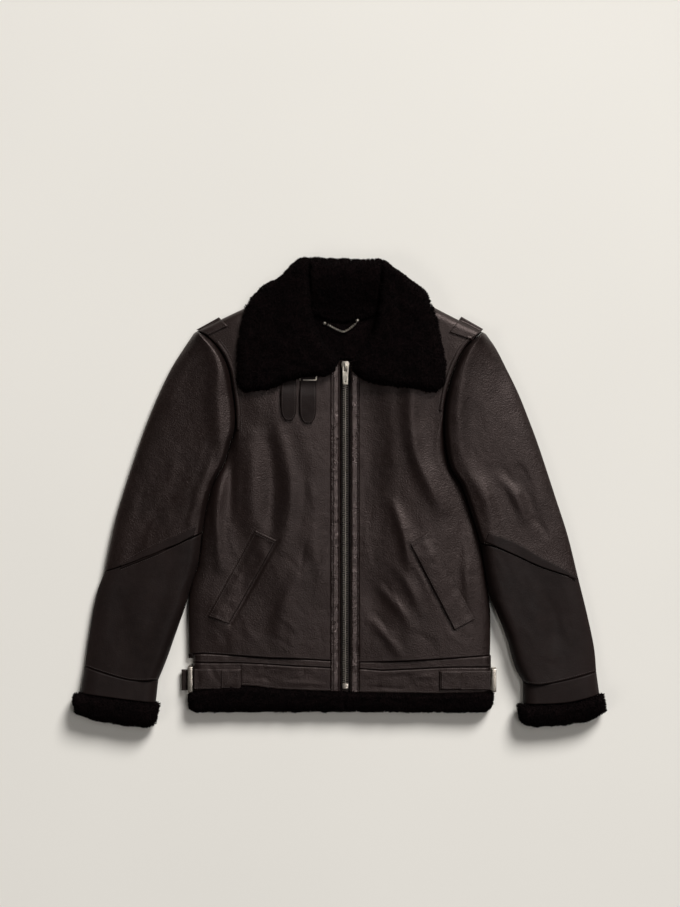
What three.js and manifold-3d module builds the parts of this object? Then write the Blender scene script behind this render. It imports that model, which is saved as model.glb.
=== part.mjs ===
// Shearling jacket with a fur collar, laid flat on its back with the zip closed.
// Millimetres, +X to the right, +Y towards the collar, +Z up from the surface it lies on.
// Left and right are those of someone who looks down on the jacket.

import * as THREE from 'three';
import { mergeVertices } from 'three/addons/utils/BufferGeometryUtils.js';
import Module from 'manifold-3d';

const wasm = await Module();
wasm.setup();

// Layers. The jacket is two layers of shearling: the under layer rests on the surface and the
// top layer lies on it. The sleeves are fuller than the body, so their layers part higher up.
const SEAM = 0.3;            // clearance between sewn pieces
const SIDE_SEAM = 0.8;       // clearance between body and sleeve along the curved armhole
const SKIN = 9.7;            // back panel: hide and fleece
const BODY_MID = 10;         // where the fronts start
const BODY_TOP = 22;         // face of the fronts, without their folds
const SLEEVE_SKIN = 13.7;
const SLEEVE_MID = 14;
const SLEEVE_TOP = 37;
const CUFF_TOP = 33;
const HEM_FUR_TOP = 33;
const CUFF_FUR_MID = 18;
const CUFF_FUR_TOP = 43;
const COLLAR_SEAT = 22.2;    // the collar's falls lie on the fronts from here up
const COLLAR_TOP = 44;
const ROLL_TOP = 50;         // crest of the collar along its roll line

// Rounding of an edge seen in section.
const CUT_EDGE = 1.5;        // leather cut and sewn
const FOLD_EDGE = 20;        // body folded at the side
const SHOULDER_EDGE = 14;
const FUR_EDGE = 15;
const STRIP_EDGE = 1.2;

// Leather strips and tabs
const STRAP_THICK = 2.8;
const WELT_THICK = 3.2;
const TAPE_THICK = 1.8;

// Zip
const ZIP_X = 11.8;          // centre line
const ZIP_TAPE_WIDTH = 12.8;
const ZIP_TOP = 214.5;
const ZIP_BOTTOM = -312;
const TEETH_WIDTH = 8.6;
const TEETH = { low: 17, high: 20 };
const SLIDER = { width: 13.4, length: 14, low: 17, high: 22, top: 214 };
const PLACKET = { width: 15.4, high: 23.5, edge: 3 };
const TAB = { width: 10.4, length: 30, thick: 2.2, slot: 8, slotWidth: 4.4, hole: 1.2 };
const LUG = { width: 2.6, length: 8.4, eye: 4.8, eyeHigh: 3.8, high: 6 };

// The curves below are lists of [x, y] in the order in which they run.
// Side of the body from the hem to the shoulder tip: side fold, then armhole.
const SIDE = {
  left: [[-240, -256], [-240, -173], [-237, -152], [-224, -110], [-218, -61], [-208, -8],
    [-198, 22], [-182, 51], [-173, 80], [-166, 104], [-165, 133], [-169, 166], [-175, 200],
    [-184, 222], [-198, 242], [-214, 256], [-227, 262]],
  right: [[244, -257], [244, -184], [238, -136], [228, -77], [214, -32], [197, 16], [179, 46],
    [171, 88], [170, 133], [177, 173], [188, 206], [203, 234], [216, 248], [232, 261]],
};
const ELBOW_ON_SIDE = { left: 4, right: 3 };    // point of SIDE where the elbow seam meets it
const UNDERARM_Y = 100;                          // armhole above, side fold below

// Level lines across the body, as y over x.
const SHOULDERS = [[-240, 256], [-227, 262], [-157, 296], [-85, 326], [107, 326], [163, 296],
  [232, 261]];
const BACK_NECK = { x: 11, half: 96, low: 275, rise: 51 };
const FRONT_HEM = [[-240, -255], [-213, -254], [-149, -258], [-109, -261], [-69, -262],
  [-10, -266], [33, -268], [86, -267], [145, -264], [221, -259], [245, -257]];
const WAIST_TOP = [[-240, -267], [-213, -269], [-155, -269], [-114, -271], [-70, -274],
  [-8, -277], [33, -278], [70, -281], [139, -278], [180, -276], [245, -276]];
const FUR_TOP = [[-240, -320], [-213, -312], [-192, -309], [-170, -305], [-131, -307],
  [-96, -312], [-21, -315], [29, -317], [160, -319], [248, -317]];
const HEM_Y = -347.5;

const BACK_HEM_Y = -262;
const NECKLINE = {
  left: [[-11, 214], [-28, 239], [-45, 268], [-62, 300], [-85, 326]],
  right: [[33, 214], [48, 239], [66, 268], [84, 300], [107, 326]],
};
const FRONT_EDGE_X = { left: -11, right: 33 };
const FRONT_SIDE_X = { left: -240, right: 244 };

// Collar: each fall runs from the point at the zip (inner, low) round to the top of the back.
const FALL = {
  left: {
    roll: [[2, 213], [-13, 232], [-32, 256], [-42, 283], [-43, 328], [-46, 380]],
    outer: [[-147, 165], [-158, 174], [-160, 206], [-157, 251], [-152, 282], [-144, 304],
      [-136, 318], [-118, 334], [-94, 347], [-77, 365]],
    low: [[2, 213], [-8, 200], [-20, 192], [-38, 191], [-66, 187], [-90, 179], [-110, 171],
      [-147, 165]],
    top: [[-46, 380], [-61, 377], [-77, 365]],
  },
  right: {
    roll: [[21, 209], [38, 232], [56, 256], [64, 283], [66.5, 328], [69, 378]],
    outer: [[158, 166], [168, 176], [171, 197], [171, 218], [163, 251], [160, 274], [150, 301],
      [141, 323], [128, 334], [112, 347], [99, 354]],
    low: [[21, 209], [29, 195], [43, 184], [74, 176], [118, 173], [141, 166], [158, 166]],
    top: [[69, 378], [85, 365], [99, 354]],
  },
};
const BACK_COLLAR = { left: -42.4, right: 63.5, high: 380.5, seat: 26, crest: 47 };

// Sleeves, from the cuff seam up. The elbow seam splits the top side in two.
const SLEEVE = {
  left: {
    outerLow: [[-406, -275], [-398, -219], [-386, -155], [-374, -123]],
    outerHigh: [[-374, -123], [-371, -106], [-357, -40], [-346, -2], [-328, 54], [-310, 106],
      [-288, 160], [-266, 205], [-247, 235], [-231, 259]],
    innerLow: [[-288, -296], [-276, -267], [-259, -219], [-243, -173]],
    elbow: [[-219, -61], [-274, -86], [-347, -114], [-374, -123]],
    cuffSeam: [[-288, -296], [-330, -296], [-406, -275]],
    cuffEnd: [[-292, -332.6], [-413, -317.2]],
    furTop: [[-286, -334], [-413, -319], [-424, -321]],
    furEnd: [[-292, -366], [-307, -370], [-347, -367], [-386, -360], [-420, -348]],
    elbowTape: { high: [[-226, -50], [-264, -68], [-302, -86], [-347, -111]],
      low: [[-230, -64], [-274, -87], [-347, -117]] },
  },
  right: {
    outerLow: [[414, -283], [411, -248], [400, -194], [385, -133]],
    outerHigh: [[385, -133], [368, -64], [350, -8], [338, 29], [320, 83], [307, 118],
      [289, 163], [270, 202], [253, 235], [237, 258]],
    innerLow: [[296, -299], [284, -277], [270, -229], [250, -179], [245, -168]],
    elbow: [[229, -72], [250, -82], [284, -96], [323, -114], [358, -126], [385, -133]],
    cuffSeam: [[296, -299], [318, -303], [363, -296], [414, -283]],
    cuffEnd: [[297, -334.8], [368, -331.4], [419, -319.2]],
    furTop: [[288, -336], [368, -332], [424, -318.6]],
    furEnd: [[291, -361], [304, -368], [333, -369], [368, -366], [402, -360], [428, -346]],
    elbowTape: { high: [[240, -60], [284, -77], [323, -99], [360, -118], [382, -132]],
      low: [[235, -74], [284, -96], [323, -114], [358, -126], [381, -135]] },
  },
};

// Folds: soft ridges (height above 0) and troughs (below 0), along a bowed line from one end
// to the other. The width is where a fold has sunk to a third of its height.
const FRONT_FOLDS = [
  { from: [-122, 78], to: [-134, -42], bow: 4, width: 13, height: 5.5 },
  { from: [-166, 60], to: [-164, -44], bow: 0, width: 8, height: -4 },
  { from: [-180, 46], to: [-184, -106], bow: -5, width: 7, height: 5 },
  { from: [-78, 92], to: [-76, -10], bow: 3, width: 15, height: 3 },
  { from: [-60, -120], to: [-100, -232], bow: -6, width: 12, height: 2.5 },
  { from: [-146, 150], to: [-150, 70], bow: 4, width: 10, height: -2.5 },
  { from: [122, 165], to: [190, -26], bow: 16, width: 14, height: 5.5 },
  { from: [92, 150], to: [120, 40], bow: 6, width: 12, height: -3 },
  { from: [90, -52], to: [132, -154], bow: 4, width: 10, height: 3.5 },
  { from: [66, -148], to: [116, -210], bow: 3, width: 8, height: 2.4 },
  { from: [50, -198], to: [100, -256], bow: 3, width: 8, height: 2.2 },
  { from: [206, -70], to: [214, -190], bow: -4, width: 9, height: 3 },
];
const SLEEVE_FOLDS = [
  { from: [-186, 236], to: [-184, 60], bow: -8, width: 15, height: 4.5 },
  { from: [-200, 60], to: [-232, -40], bow: 3, width: 12, height: 3 },
  { from: [-250, 40], to: [-300, -50], bow: 6, width: 16, height: -2.5 },
  { from: [-262, -130], to: [-330, -250], bow: 4, width: 16, height: -2.5 },
  { from: [204, 226], to: [196, 60], bow: -8, width: 15, height: 4.5 },
  { from: [214, 40], to: [250, -40], bow: 3, width: 12, height: 3 },
  { from: [256, 30], to: [300, -34], bow: 4, width: 9, height: 3 },
  { from: [290, 40], to: [330, -60], bow: -4, width: 10, height: -2.5 },
  { from: [340, -150], to: [350, -260], bow: 0, width: 18, height: -3 },
];

// Pockets, shoulder tabs: corners in turn, the first two at the upper or inner end.
const POCKET = {
  left: [[-132, -56], [-98, -72], [-174, -206], [-208, -194]],
  right: [[144, -60], [115, -78], [186, -216], [219, -199]],
};
const SHOULDER_TAB = {
  left: [[-176, 270], [-191, 285], [-227, 265], [-208, 255]],
  right: [[178, 260], [198, 286], [233, 266], [216, 247]],
};
const COLLAR_STRAPS = [
  { name: 'collar_strap_1', left: -90, right: -67.5, end: 119 },
  { name: 'collar_strap_2', left: -60, right: -36, end: 114.5 },
];
const COLLAR_STRAP_TOP = 204;
const SIDE_STRAP = {
  left: { x0: -231, x1: -155, low: -311, high: -278 },
  right: { x0: 162, x1: 244.5, low: -312, high: -281 },
};
const STRAP_PATCH = { left: [-187, -157.5], right: [164.5, 197] };
const BUCKLE = {
  left: { x: -236.5, low: -317, high: -274 },
  right: { x: 249.6, low: -315.5, high: -277 },
};
const SIDE_TAB = { width: 10.8, low: 4, high: 12, in: 3 };
const BUCKLE_FRAME = { across: 7.4, tall: 23, wire: 2.6, foot: 1.6 };

// Materials
const LEATHER = new THREE.MeshStandardMaterial({ color: 0x2a2120, roughness: 0.42, metalness: 0 });
const SUEDED = new THREE.MeshStandardMaterial({ color: 0x221d1b, roughness: 0.7, metalness: 0 });
const FUR = new THREE.MeshStandardMaterial({ color: 0x0b0909, roughness: 0.95, metalness: 0 });
const TAPE = new THREE.MeshStandardMaterial({ color: 0x161212, roughness: 0.8, metalness: 0 });
const METAL = new THREE.MeshStandardMaterial({ color: 0xb9b3a8, roughness: 0.3, metalness: 1 });

// Plan curves, as functions from 0..1 to [x, y] at an even pace
function curve(points) {
  const line = new THREE.CatmullRomCurve3(
    points.map(([x, y]) => new THREE.Vector3(x, y, 0)), false, 'centripetal');
  line.arcLengthDivisions = 400;
  return (t) => {
    const p = line.getPointAt(t);
    return [p.x, p.y];
  };
}

function levelAt(table, x) {
  let i = 0;
  while (i < table.length - 2 && x > table[i + 1][0]) i += 1;
  const [[x0, y0], [x1, y1]] = [table[i], table[i + 1]];
  return THREE.MathUtils.mapLinear(THREE.MathUtils.clamp(x, x0, x1), x0, x1, y0, y1);
}

// Shoulder lines, with the neckline of the back between them
function backTop(x) {
  const across = (x - BACK_NECK.x) / BACK_NECK.half;
  return Math.abs(across) < 1 ? BACK_NECK.low + BACK_NECK.rise * across ** 2
    : levelAt(SHOULDERS, x);
}

// A stretch of a level line from x0 to x1, moved by dy
function level(table, x0, x1, dy = 0) {
  return (t) => {
    const x = THREE.MathUtils.lerp(x0, x1, t);
    return [x, levelAt(table, x) + dy];
  };
}

function topEdge(x0, x1, dy = 0) {
  return (t) => {
    const x = THREE.MathUtils.lerp(x0, x1, t);
    return [x, backTop(x) + dy];
  };
}

// The points of a line moved sideways, to the left of its direction
function moved(points, distance) {
  return points.map((point, i) => {
    const a = points[Math.max(0, i - 1)];
    const b = points[Math.min(points.length - 1, i + 1)];
    const length = Math.hypot(b[0] - a[0], b[1] - a[1]);
    return [point[0] - distance * (b[1] - a[1]) / length,
      point[1] + distance * (b[0] - a[0]) / length];
  });
}

// A plan patch between four edges: inner and outer run up, low and top run outwards.
function patch(inner, outer, low, top) {
  const corner = { a: inner(0), b: outer(0), c: inner(1), d: outer(1) };
  return (u, v) => [0, 1].map((k) => (1 - u) * inner(v)[k] + u * outer(v)[k]
    + (1 - v) * low(u)[k] + v * top(u)[k]
    - (1 - v) * ((1 - u) * corner.a[k] + u * corner.b[k])
    - v * ((1 - u) * corner.c[k] + u * corner.d[k]));
}

function quad([a, b, c, d]) {
  return patch(curve([a, b]), curve([d, c]), curve([a, d]), curve([b, c]));
}

function rectangle(x0, x1, y0, y1) {
  return quad([[x0, y0], [x0, y1], [x1, y1], [x1, y0]]);
}

function ribbon(points, width) {
  const inner = moved(points, width / 2);
  const outer = moved(points, -width / 2);
  return patch(curve(inner), curve(outer), curve([inner[0], outer[0]]),
    curve([inner.at(-1), outer.at(-1)]));
}

// Height of the folds at a plan point
function foldHeight(folds, x, y) {
  let height = 0;
  for (const fold of folds) {
    const [dx, dy] = [fold.to[0] - fold.from[0], fold.to[1] - fold.from[1]];
    const length = Math.hypot(dx, dy);
    const along = ((x - fold.from[0]) * dx + (y - fold.from[1]) * dy) / length ** 2;
    const t = THREE.MathUtils.clamp(along, 0, 1);
    const bow = fold.bow * Math.sin(Math.PI * t);
    const side = ((x - fold.from[0]) * -dy + (y - fold.from[1]) * dx) / length - bow;
    const past = (along - t) * length;
    const fade = Math.sin(Math.PI * (0.12 + 0.76 * t));
    height += fold.height * fade * Math.exp(-((side ** 2 + past ** 2) / fold.width ** 2));
  }
  return height;
}

// How far in from an edge a row of points lies, as shares of the edge's rounding
const ROUND_MARKS = [0, 0.14, 0.5, 1];
const SHARP_MARKS = [0, 1];
const SOFT = 4;              // an edge rounded by more than this gets the round marks
const PLAIN_STEP = 3;        // a plain face has every third column

function stations(length, first, last, inside) {
  const fit = Math.min(1, 0.9 * length / (first.radius + last.radius));
  const near = first.marks.map((m) => m * first.radius * fit / length);
  const far = last.marks.map((m) => 1 - m * last.radius * fit / length).reverse();
  const [a, b] = [near.at(-1), far[0]];
  const middle = [];
  for (let i = 1; i < inside; i += 1) middle.push(THREE.MathUtils.lerp(a, b, i / inside));
  return [...near, ...middle, ...far];
}

function rise(distance, radius) {
  const s = Math.min(1, distance / radius);
  return Math.sqrt(Math.max(0, 2 * s - s * s));
}

function apart(p, q) {
  return Math.hypot(p[0] - q[0], p[1] - q[1]);
}

// The points of a piece: rows from low to top, each from inner to outer, with the share of its
// full thickness that the piece has there.
function gridOf(spec, grow) {
  const { plan, cells, edges } = spec;
  const edge = (e) => ({
    radius: Math.max(...[e].flat()),
    marks: Math.max(...[e].flat()) > SOFT ? ROUND_MARKS : SHARP_MARKS,
  });
  const tall = (apart(plan(0, 0), plan(0, 1)) + apart(plan(1, 0), plan(1, 1))) / 2;
  const vs = stations(tall, edge(edges.low), edge(edges.top), cells[1]);
  const rows = vs.map((v) => {
    const width = apart(plan(0, v), plan(1, v));
    const outer = { ...edge(edges.outer), radius: radiusAt(edges.outer, plan(1, v)[1]) };
    const fit = Math.min(1, 0.9 * width / (edge(edges.inner).radius + outer.radius));
    return stations(width, edge(edges.inner), outer, cells[0]).map((u) => {
      const [x, y] = plan(u, v);
      const across = rise(u * width, edge(edges.inner).radius * fit)
        * rise((1 - u) * width, outer.radius * fit);
      const along = rise(v * tall, edge(edges.low).radius)
        * rise((1 - v) * tall, edge(edges.top).radius);
      return { x, y, u, v, share: across * along };
    });
  });
  if (grow) growOutline(rows, grow);
  return rows;
}

// The side of the body is folded below the underarm and sewn above it.
function radiusAt(radius, y) {
  if (!Array.isArray(radius)) return radius;
  return THREE.MathUtils.lerp(radius[0], radius[1],
    THREE.MathUtils.smoothstep(y, UNDERARM_Y - 50, UNDERARM_Y + 30));
}

function growOutline(rows, grow) {
  const push = (point, from) => {
    const length = apart([point.x, point.y], [from.x, from.y]) || 1;
    return [grow * (point.x - from.x) / length, grow * (point.y - from.y) / length];
  };
  const last = rows.length - 1;
  const end = rows[0].length - 1;
  const steps = [];
  rows.forEach((row, j) => row.forEach((point, i) => {
    if (i === 0) steps.push([point, push(point, row[1])]);
    if (i === end) steps.push([point, push(point, row[end - 1])]);
    if (j === 0) steps.push([point, push(point, rows[1][i])]);
    if (j === last) steps.push([point, push(point, rows[last - 1][i])]);
  }));
  steps.forEach(([point, [dx, dy]]) => {
    point.x += dx;
    point.y += dy;
  });
}

// A sewn piece: it is as high as high(x, y) and as low as low(x, y) inside, and both faces run
// together at the outline, at the share rim of the thickness. A plain face has fewer columns.
function pieceGeometry(spec, grow = 0) {
  const rows = gridOf(spec, grow);
  const [last, end] = [rows.length - 1, rows[0].length - 1];
  const position = [];
  const upper = [];
  const lower = [];
  rows.forEach((row, j) => {
    upper.push([]);
    lower.push([]);
    row.forEach((point, i) => {
      const rim = i === 0 || i === end || j === 0 || j === last;
      const high = spec.high(point.x, point.y, point.u, point.v) + grow;
      const low = spec.low(point.x, point.y, point.u, point.v) - grow;
      const meet = low + spec.rim * (high - low);
      const share = rim ? 0 : point.share;
      upper[j].push(position.length / 3);
      position.push(point.x, point.y, meet + (high - meet) * share);
      if (rim) {
        lower[j].push(upper[j][i]);
      } else {
        lower[j].push(position.length / 3);
        position.push(point.x, point.y, meet - (meet - low) * share);
      }
    });
  });
  const faces = [
    ...faceOf(upper, spec.plain === 'high' ? PLAIN_STEP : 1),
    ...faceOf(lower, spec.plain === 'low' ? PLAIN_STEP : 1).map(([a, b, c]) => [a, c, b]),
  ];
  const turned = turnsLeft(rows) ? faces : faces.map(([a, b, c]) => [a, c, b]);
  const used = new THREE.BufferGeometry();
  used.setAttribute('position', new THREE.Float32BufferAttribute(position, 3));
  used.setIndex(turned.flat());
  return used;
}

// Triangles of a grid of point numbers. With a step, the inner rows use every step-th column.
function faceOf(grid, step) {
  const end = grid[0].length - 1;
  const all = grid[0].map((_, i) => i);
  const few = all.filter((i) => i % step === 0 || i === end);
  const columns = grid.map((_, j) => (j === 0 || j === grid.length - 1 ? all : few));
  const faces = [];
  for (let j = 0; j < grid.length - 1; j += 1) {
    faces.push(...strip(grid[j], columns[j], grid[j + 1], columns[j + 1]));
  }
  return faces;
}

function strip(rowA, columnsA, rowB, columnsB) {
  const faces = [];
  let [a, b] = [0, 0];
  while (a < columnsA.length - 1 || b < columnsB.length - 1) {
    const nextA = columnsA[a + 1] ?? Infinity;
    const nextB = columnsB[b + 1] ?? Infinity;
    if (nextA <= nextB) {
      faces.push([rowA[columnsA[a]], rowA[columnsA[a + 1]], rowB[columnsB[b]]]);
      a += 1;
    } else {
      faces.push([rowA[columnsA[a]], rowB[columnsB[b + 1]], rowB[columnsB[b]]]);
      b += 1;
    }
  }
  return faces;
}

// True where the outline low, outer, top, inner runs counter-clockwise
function turnsLeft(rows) {
  const [low, top] = [rows[0], rows.at(-1)];
  const loop = [...low, ...rows.map((row) => row.at(-1)), ...[...top].reverse(),
    ...rows.map((row) => row[0]).reverse()];
  const area = loop.reduce((sum, p, i) => {
    const q = loop[(i + 1) % loop.length];
    return sum + p.x * q.y - q.x * p.y;
  }, 0);
  return area > 0;
}

// Joining and cutting
function toManifold(geometry) {
  const bare = geometry.clone();
  bare.deleteAttribute('normal');
  bare.deleteAttribute('uv');
  const merged = mergeVertices(bare, 1e-4);
  return new wasm.Manifold(new wasm.Mesh({
    numProp: 3,
    vertProperties: new Float32Array(merged.attributes.position.array),
    triVerts: new Uint32Array(merged.index.array),
  }));
}

function toGeometry(manifold) {
  const mesh = manifold.getMesh();
  const geometry = new THREE.BufferGeometry();
  geometry.setAttribute('position', new THREE.BufferAttribute(mesh.vertProperties, 3));
  geometry.setIndex(new THREE.BufferAttribute(mesh.triVerts, 1));
  return geometry;
}

// A cut can leave crumbs beside the piece: only the largest body is kept.
function cut(geometry, cutters) {
  let solid = toManifold(geometry);
  for (const cutter of cutters) solid = solid.subtract(toManifold(cutter));
  return toGeometry(solid.decompose().sort((a, b) => b.volume() - a.volume())[0]);
}

function join(geometries) {
  return toGeometry(geometries.map(toManifold).reduce((a, b) => a.add(b)));
}

// Highest point of some geometries over a plan point, or null beside them
function surfaceOver(geometries, x, y) {
  let best = null;
  for (const geometry of geometries) {
    const p = geometry.attributes.position.array;
    const index = geometry.index.array;
    for (let k = 0; k < index.length; k += 3) {
      const [a, b, c] = [3 * index[k], 3 * index[k + 1], 3 * index[k + 2]];
      const det = (p[b] - p[a]) * (p[c + 1] - p[a + 1]) - (p[c] - p[a]) * (p[b + 1] - p[a + 1]);
      if (det > 1e-6) {
        const s = ((x - p[a]) * (p[c + 1] - p[a + 1]) - (p[c] - p[a]) * (y - p[a + 1])) / det;
        const t = ((p[b] - p[a]) * (y - p[a + 1]) - (x - p[a]) * (p[b + 1] - p[a + 1])) / det;
        if (s >= 0 && t >= 0 && s + t <= 1) {
          const z = p[a + 2] + s * (p[b + 2] - p[a + 2]) + t * (p[c + 2] - p[a + 2]);
          best = best === null ? z : Math.max(best, z);
        }
      }
    }
  }
  return best;
}

// The jacket and its registers: the spec and the geometry of each piece by name
const jacket = new THREE.Group();
const specs = {};
const geometries = {};

function place(name, geometry, material) {
  geometry.computeVertexNormals();
  const mesh = new THREE.Mesh(geometry, material);
  mesh.name = name;
  jacket.add(mesh);
  geometries[name] = geometry;
}

function sew(name, material, spec) {
  specs[name] = spec;
  place(name, pieceGeometry(spec), material);
}

// The pieces made larger by the seam clearance, for what is cut round them
function grown(names) {
  return names.map((name) => (specs[name]
    ? pieceGeometry(specs[name], SEAM) : boxRound(geometries[name], SEAM)));
}

function boxRound(geometry, margin) {
  geometry.computeBoundingBox();
  const size = geometry.boundingBox.getSize(new THREE.Vector3()).addScalar(2 * margin);
  const middle = geometry.boundingBox.getCenter(new THREE.Vector3());
  return new THREE.BoxGeometry(size.x, size.y, size.z).translate(middle.x, middle.y, middle.z);
}

// A piece that lies on others: its underside is cut to their faces.
const SUNK = 1.2;
function layOn(name, material, { plan, cells, thick, on, edge = STRIP_EDGE, fall = BODY_MID }) {
  const under = on.map((other) => geometries[other]);
  const ground = (x, y) => surfaceOver(under, x, y) ?? fall;
  const spec = {
    plan, cells, rim: 0.45,
    edges: { inner: edge, outer: edge, low: edge, top: edge },
    low: (x, y) => ground(x, y) - SUNK,
    high: (x, y) => ground(x, y) + SEAM + thick,
  };
  specs[name] = spec;
  place(name, cut(pieceGeometry(spec), grown(on)), material);
}

const flat = (z) => () => z;

// Body
function makeBack() {
  const low = {
    left: [FRONT_SIDE_X.left, BACK_HEM_Y],
    right: [FRONT_SIDE_X.right, BACK_HEM_Y],
  };
  sew('back', LEATHER, {
    plan: patch(curve([low.left, ...SIDE.left]), curve([low.right, ...SIDE.right]),
      curve([low.left, low.right]),
      topEdge(SIDE.left.at(-1)[0], SIDE.right.at(-1)[0])),
    cells: [20, 18], rim: 1, plain: 'high', low: flat(0), high: flat(SKIN),
    edges: { inner: 12, outer: 12, low: CUT_EDGE, top: 6 },
  });
}

function frontFace(x, y) {
  return BODY_TOP + foldHeight(FRONT_FOLDS, x, y);
}

function makeFront(side) {
  const hem = [FRONT_EDGE_X[side], levelAt(FRONT_HEM, FRONT_EDGE_X[side])];
  const sideStart = SIDE[side][0];
  const tip = SIDE[side].at(-1);
  const neck = NECKLINE[side].at(-1);
  sew(`front_${side}`, LEATHER, {
    plan: patch(curve([hem, [hem[0], -100], [hem[0], 60], [hem[0], 204], ...NECKLINE[side]]),
      curve(SIDE[side]), level(FRONT_HEM, hem[0], sideStart[0]),
      curve([neck, [(neck[0] + tip[0]) / 2, backTop((neck[0] + tip[0]) / 2)], tip])),
    cells: [12, 21], rim: 0, plain: 'low', low: flat(BODY_MID), high: frontFace,
    edges: { inner: CUT_EDGE, outer: [FOLD_EDGE, 3], low: CUT_EDGE, top: SHOULDER_EDGE },
  });
}

function makeWaist(side) {
  const sign = side === 'left' ? -1 : 1;
  const x0 = FRONT_EDGE_X[side] + sign * SEAM;
  const x1 = side === 'left' ? -232.5 : 245.5;
  const band = (lowLine, highLine, lowGap, highGap) => patch(
    curve([level(lowLine, x0, x1, lowGap)(0), level(highLine, x0, x1, highGap)(0)]),
    curve([level(lowLine, x0, x1, lowGap)(1), level(highLine, x0, x1, highGap)(1)]),
    level(lowLine, x0, x1, lowGap), level(highLine, x0, x1, highGap));
  sew(`hem_tape_${side}`, TAPE, {
    plan: band(WAIST_TOP, FRONT_HEM, SEAM, -SEAM),
    cells: [8, 1], rim: 0, plain: 'low', low: flat(BODY_MID), high: flat(BODY_TOP - 1.2),
    edges: { inner: CUT_EDGE, outer: 14, low: STRIP_EDGE, top: STRIP_EDGE },
  });
  sew(`waistband_${side}`, LEATHER, {
    plan: band(FUR_TOP, WAIST_TOP, SEAM, -SEAM),
    cells: [8, 2], rim: 0, plain: 'low', low: flat(BODY_MID), high: flat(BODY_TOP + 0.5),
    edges: { inner: CUT_EDGE, outer: 14, low: STRIP_EDGE, top: STRIP_EDGE },
  });
}

function makeWaistBack() {
  const [x0, x1] = [-232.5, 245.5];
  const high = BACK_HEM_Y - SEAM;
  sew('waistband_back', LEATHER, {
    plan: patch(curve([[x0, levelAt(FUR_TOP, x0) + SEAM], [x0, high]]),
      curve([[x1, levelAt(FUR_TOP, x1) + SEAM], [x1, high]]),
      level(FUR_TOP, x0, x1, SEAM), curve([[x0, high], [x1, high]])),
    cells: [10, 1], rim: 1, plain: 'high', low: flat(0), high: flat(SKIN),
    edges: { inner: 10, outer: 10, low: STRIP_EDGE, top: STRIP_EDGE },
  });
}

const FUR_CORNER = { left: [-241, -229], right: [248.5, 236] };
function furStrip(x0, x1, side0, side1) {
  const end = (x, turned) => (turned
    ? [[turned[1], HEM_Y], [turned[0] - (turned[0] - turned[1]) * 0.25, HEM_Y + 8],
      [turned[0], levelAt(FUR_TOP, turned[0]) - SEAM]]
    : [[x, HEM_Y], [x, levelAt(FUR_TOP, x) - SEAM]]);
  const a = end(x0, side0);
  const b = end(x1, side1);
  return patch(curve(a), curve(b), curve([a[0], b[0]]),
    level(FUR_TOP, a.at(-1)[0], b.at(-1)[0], -SEAM));
}

function makeHemFur() {
  const edges = { inner: 5, outer: 14, low: 14, top: 8 };
  const [meetLeft, meetRight] = [ZIP_X - SEAM, ZIP_X + SEAM];
  sew('hem_fur_left', FUR, {
    plan: furStrip(meetLeft, 0, null, FUR_CORNER.left), edges,
    cells: [9, 1], rim: 0, plain: 'low', low: flat(BODY_MID), high: flat(HEM_FUR_TOP),
  });
  sew('hem_fur_right', FUR, {
    plan: furStrip(meetRight, 0, null, FUR_CORNER.right), edges,
    cells: [9, 1], rim: 0, plain: 'low', low: flat(BODY_MID), high: flat(HEM_FUR_TOP),
  });
  sew('hem_fur_back', FUR, {
    plan: furStrip(0, 0, FUR_CORNER.left, FUR_CORNER.right),
    edges: { inner: 9, outer: 9, low: 9, top: STRIP_EDGE },
    cells: [10, 1], rim: 1, plain: 'high', low: flat(0), high: flat(SKIN),
  });
}

// Sleeves
function sleeveFace(x, y) {
  return SLEEVE_TOP + foldHeight(SLEEVE_FOLDS, x, y);
}

function makeSleeve(side) {
  const s = SLEEVE[side];
  const away = side === 'left' ? SIDE_SEAM : -SIDE_SEAM;
  const elbowIndex = ELBOW_ON_SIDE[side];
  const armhole = moved(SIDE[side].slice(elbowIndex), away);
  const shoulder = [armhole.at(-1), s.outerHigh.at(-1)];
  const elbow = [armhole[0], ...s.elbow.slice(1)];
  const valley = moved(SIDE[side].slice(2, elbowIndex + 1), away);
  const inner = [...s.innerLow, ...valley];
  const lowered = elbow.map(([x, y]) => [x, y - 2 * SEAM]);
  const forearmInner = [...inner.slice(0, -1), lowered[0]];
  const forearmOuter = [...s.outerLow.slice(0, -1), lowered.at(-1)];
  sew(`sleeve_top_${side}`, LEATHER, {
    plan: patch(curve(armhole), curve(s.outerHigh), curve(elbow), curve(shoulder)),
    cells: [7, 14], rim: 0, plain: 'low', low: flat(SLEEVE_MID), high: sleeveFace,
    edges: { inner: 18, outer: 30, low: CUT_EDGE, top: SHOULDER_EDGE },
  });
  sew(`sleeve_forearm_${side}`, SUEDED, {
    plan: patch(curve(forearmInner), curve(forearmOuter), curve(s.cuffSeam), curve(lowered)),
    cells: [6, 7], rim: 0, plain: 'low', low: flat(SLEEVE_MID), high: sleeveFace,
    edges: { inner: 20, outer: 28, low: CUT_EDGE, top: CUT_EDGE },
  });
  sew(`sleeve_under_${side}`, SUEDED, {
    plan: patch(curve([...inner, ...armhole.slice(1)]),
      curve([...s.outerLow, ...s.outerHigh.slice(1)]), curve(s.cuffSeam), curve(shoulder)),
    cells: [2, 14], rim: 1, plain: 'high', low: flat(0), high: flat(SLEEVE_SKIN),
    edges: { inner: 14, outer: 18, low: CUT_EDGE, top: SHOULDER_EDGE },
  });
}

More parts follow.
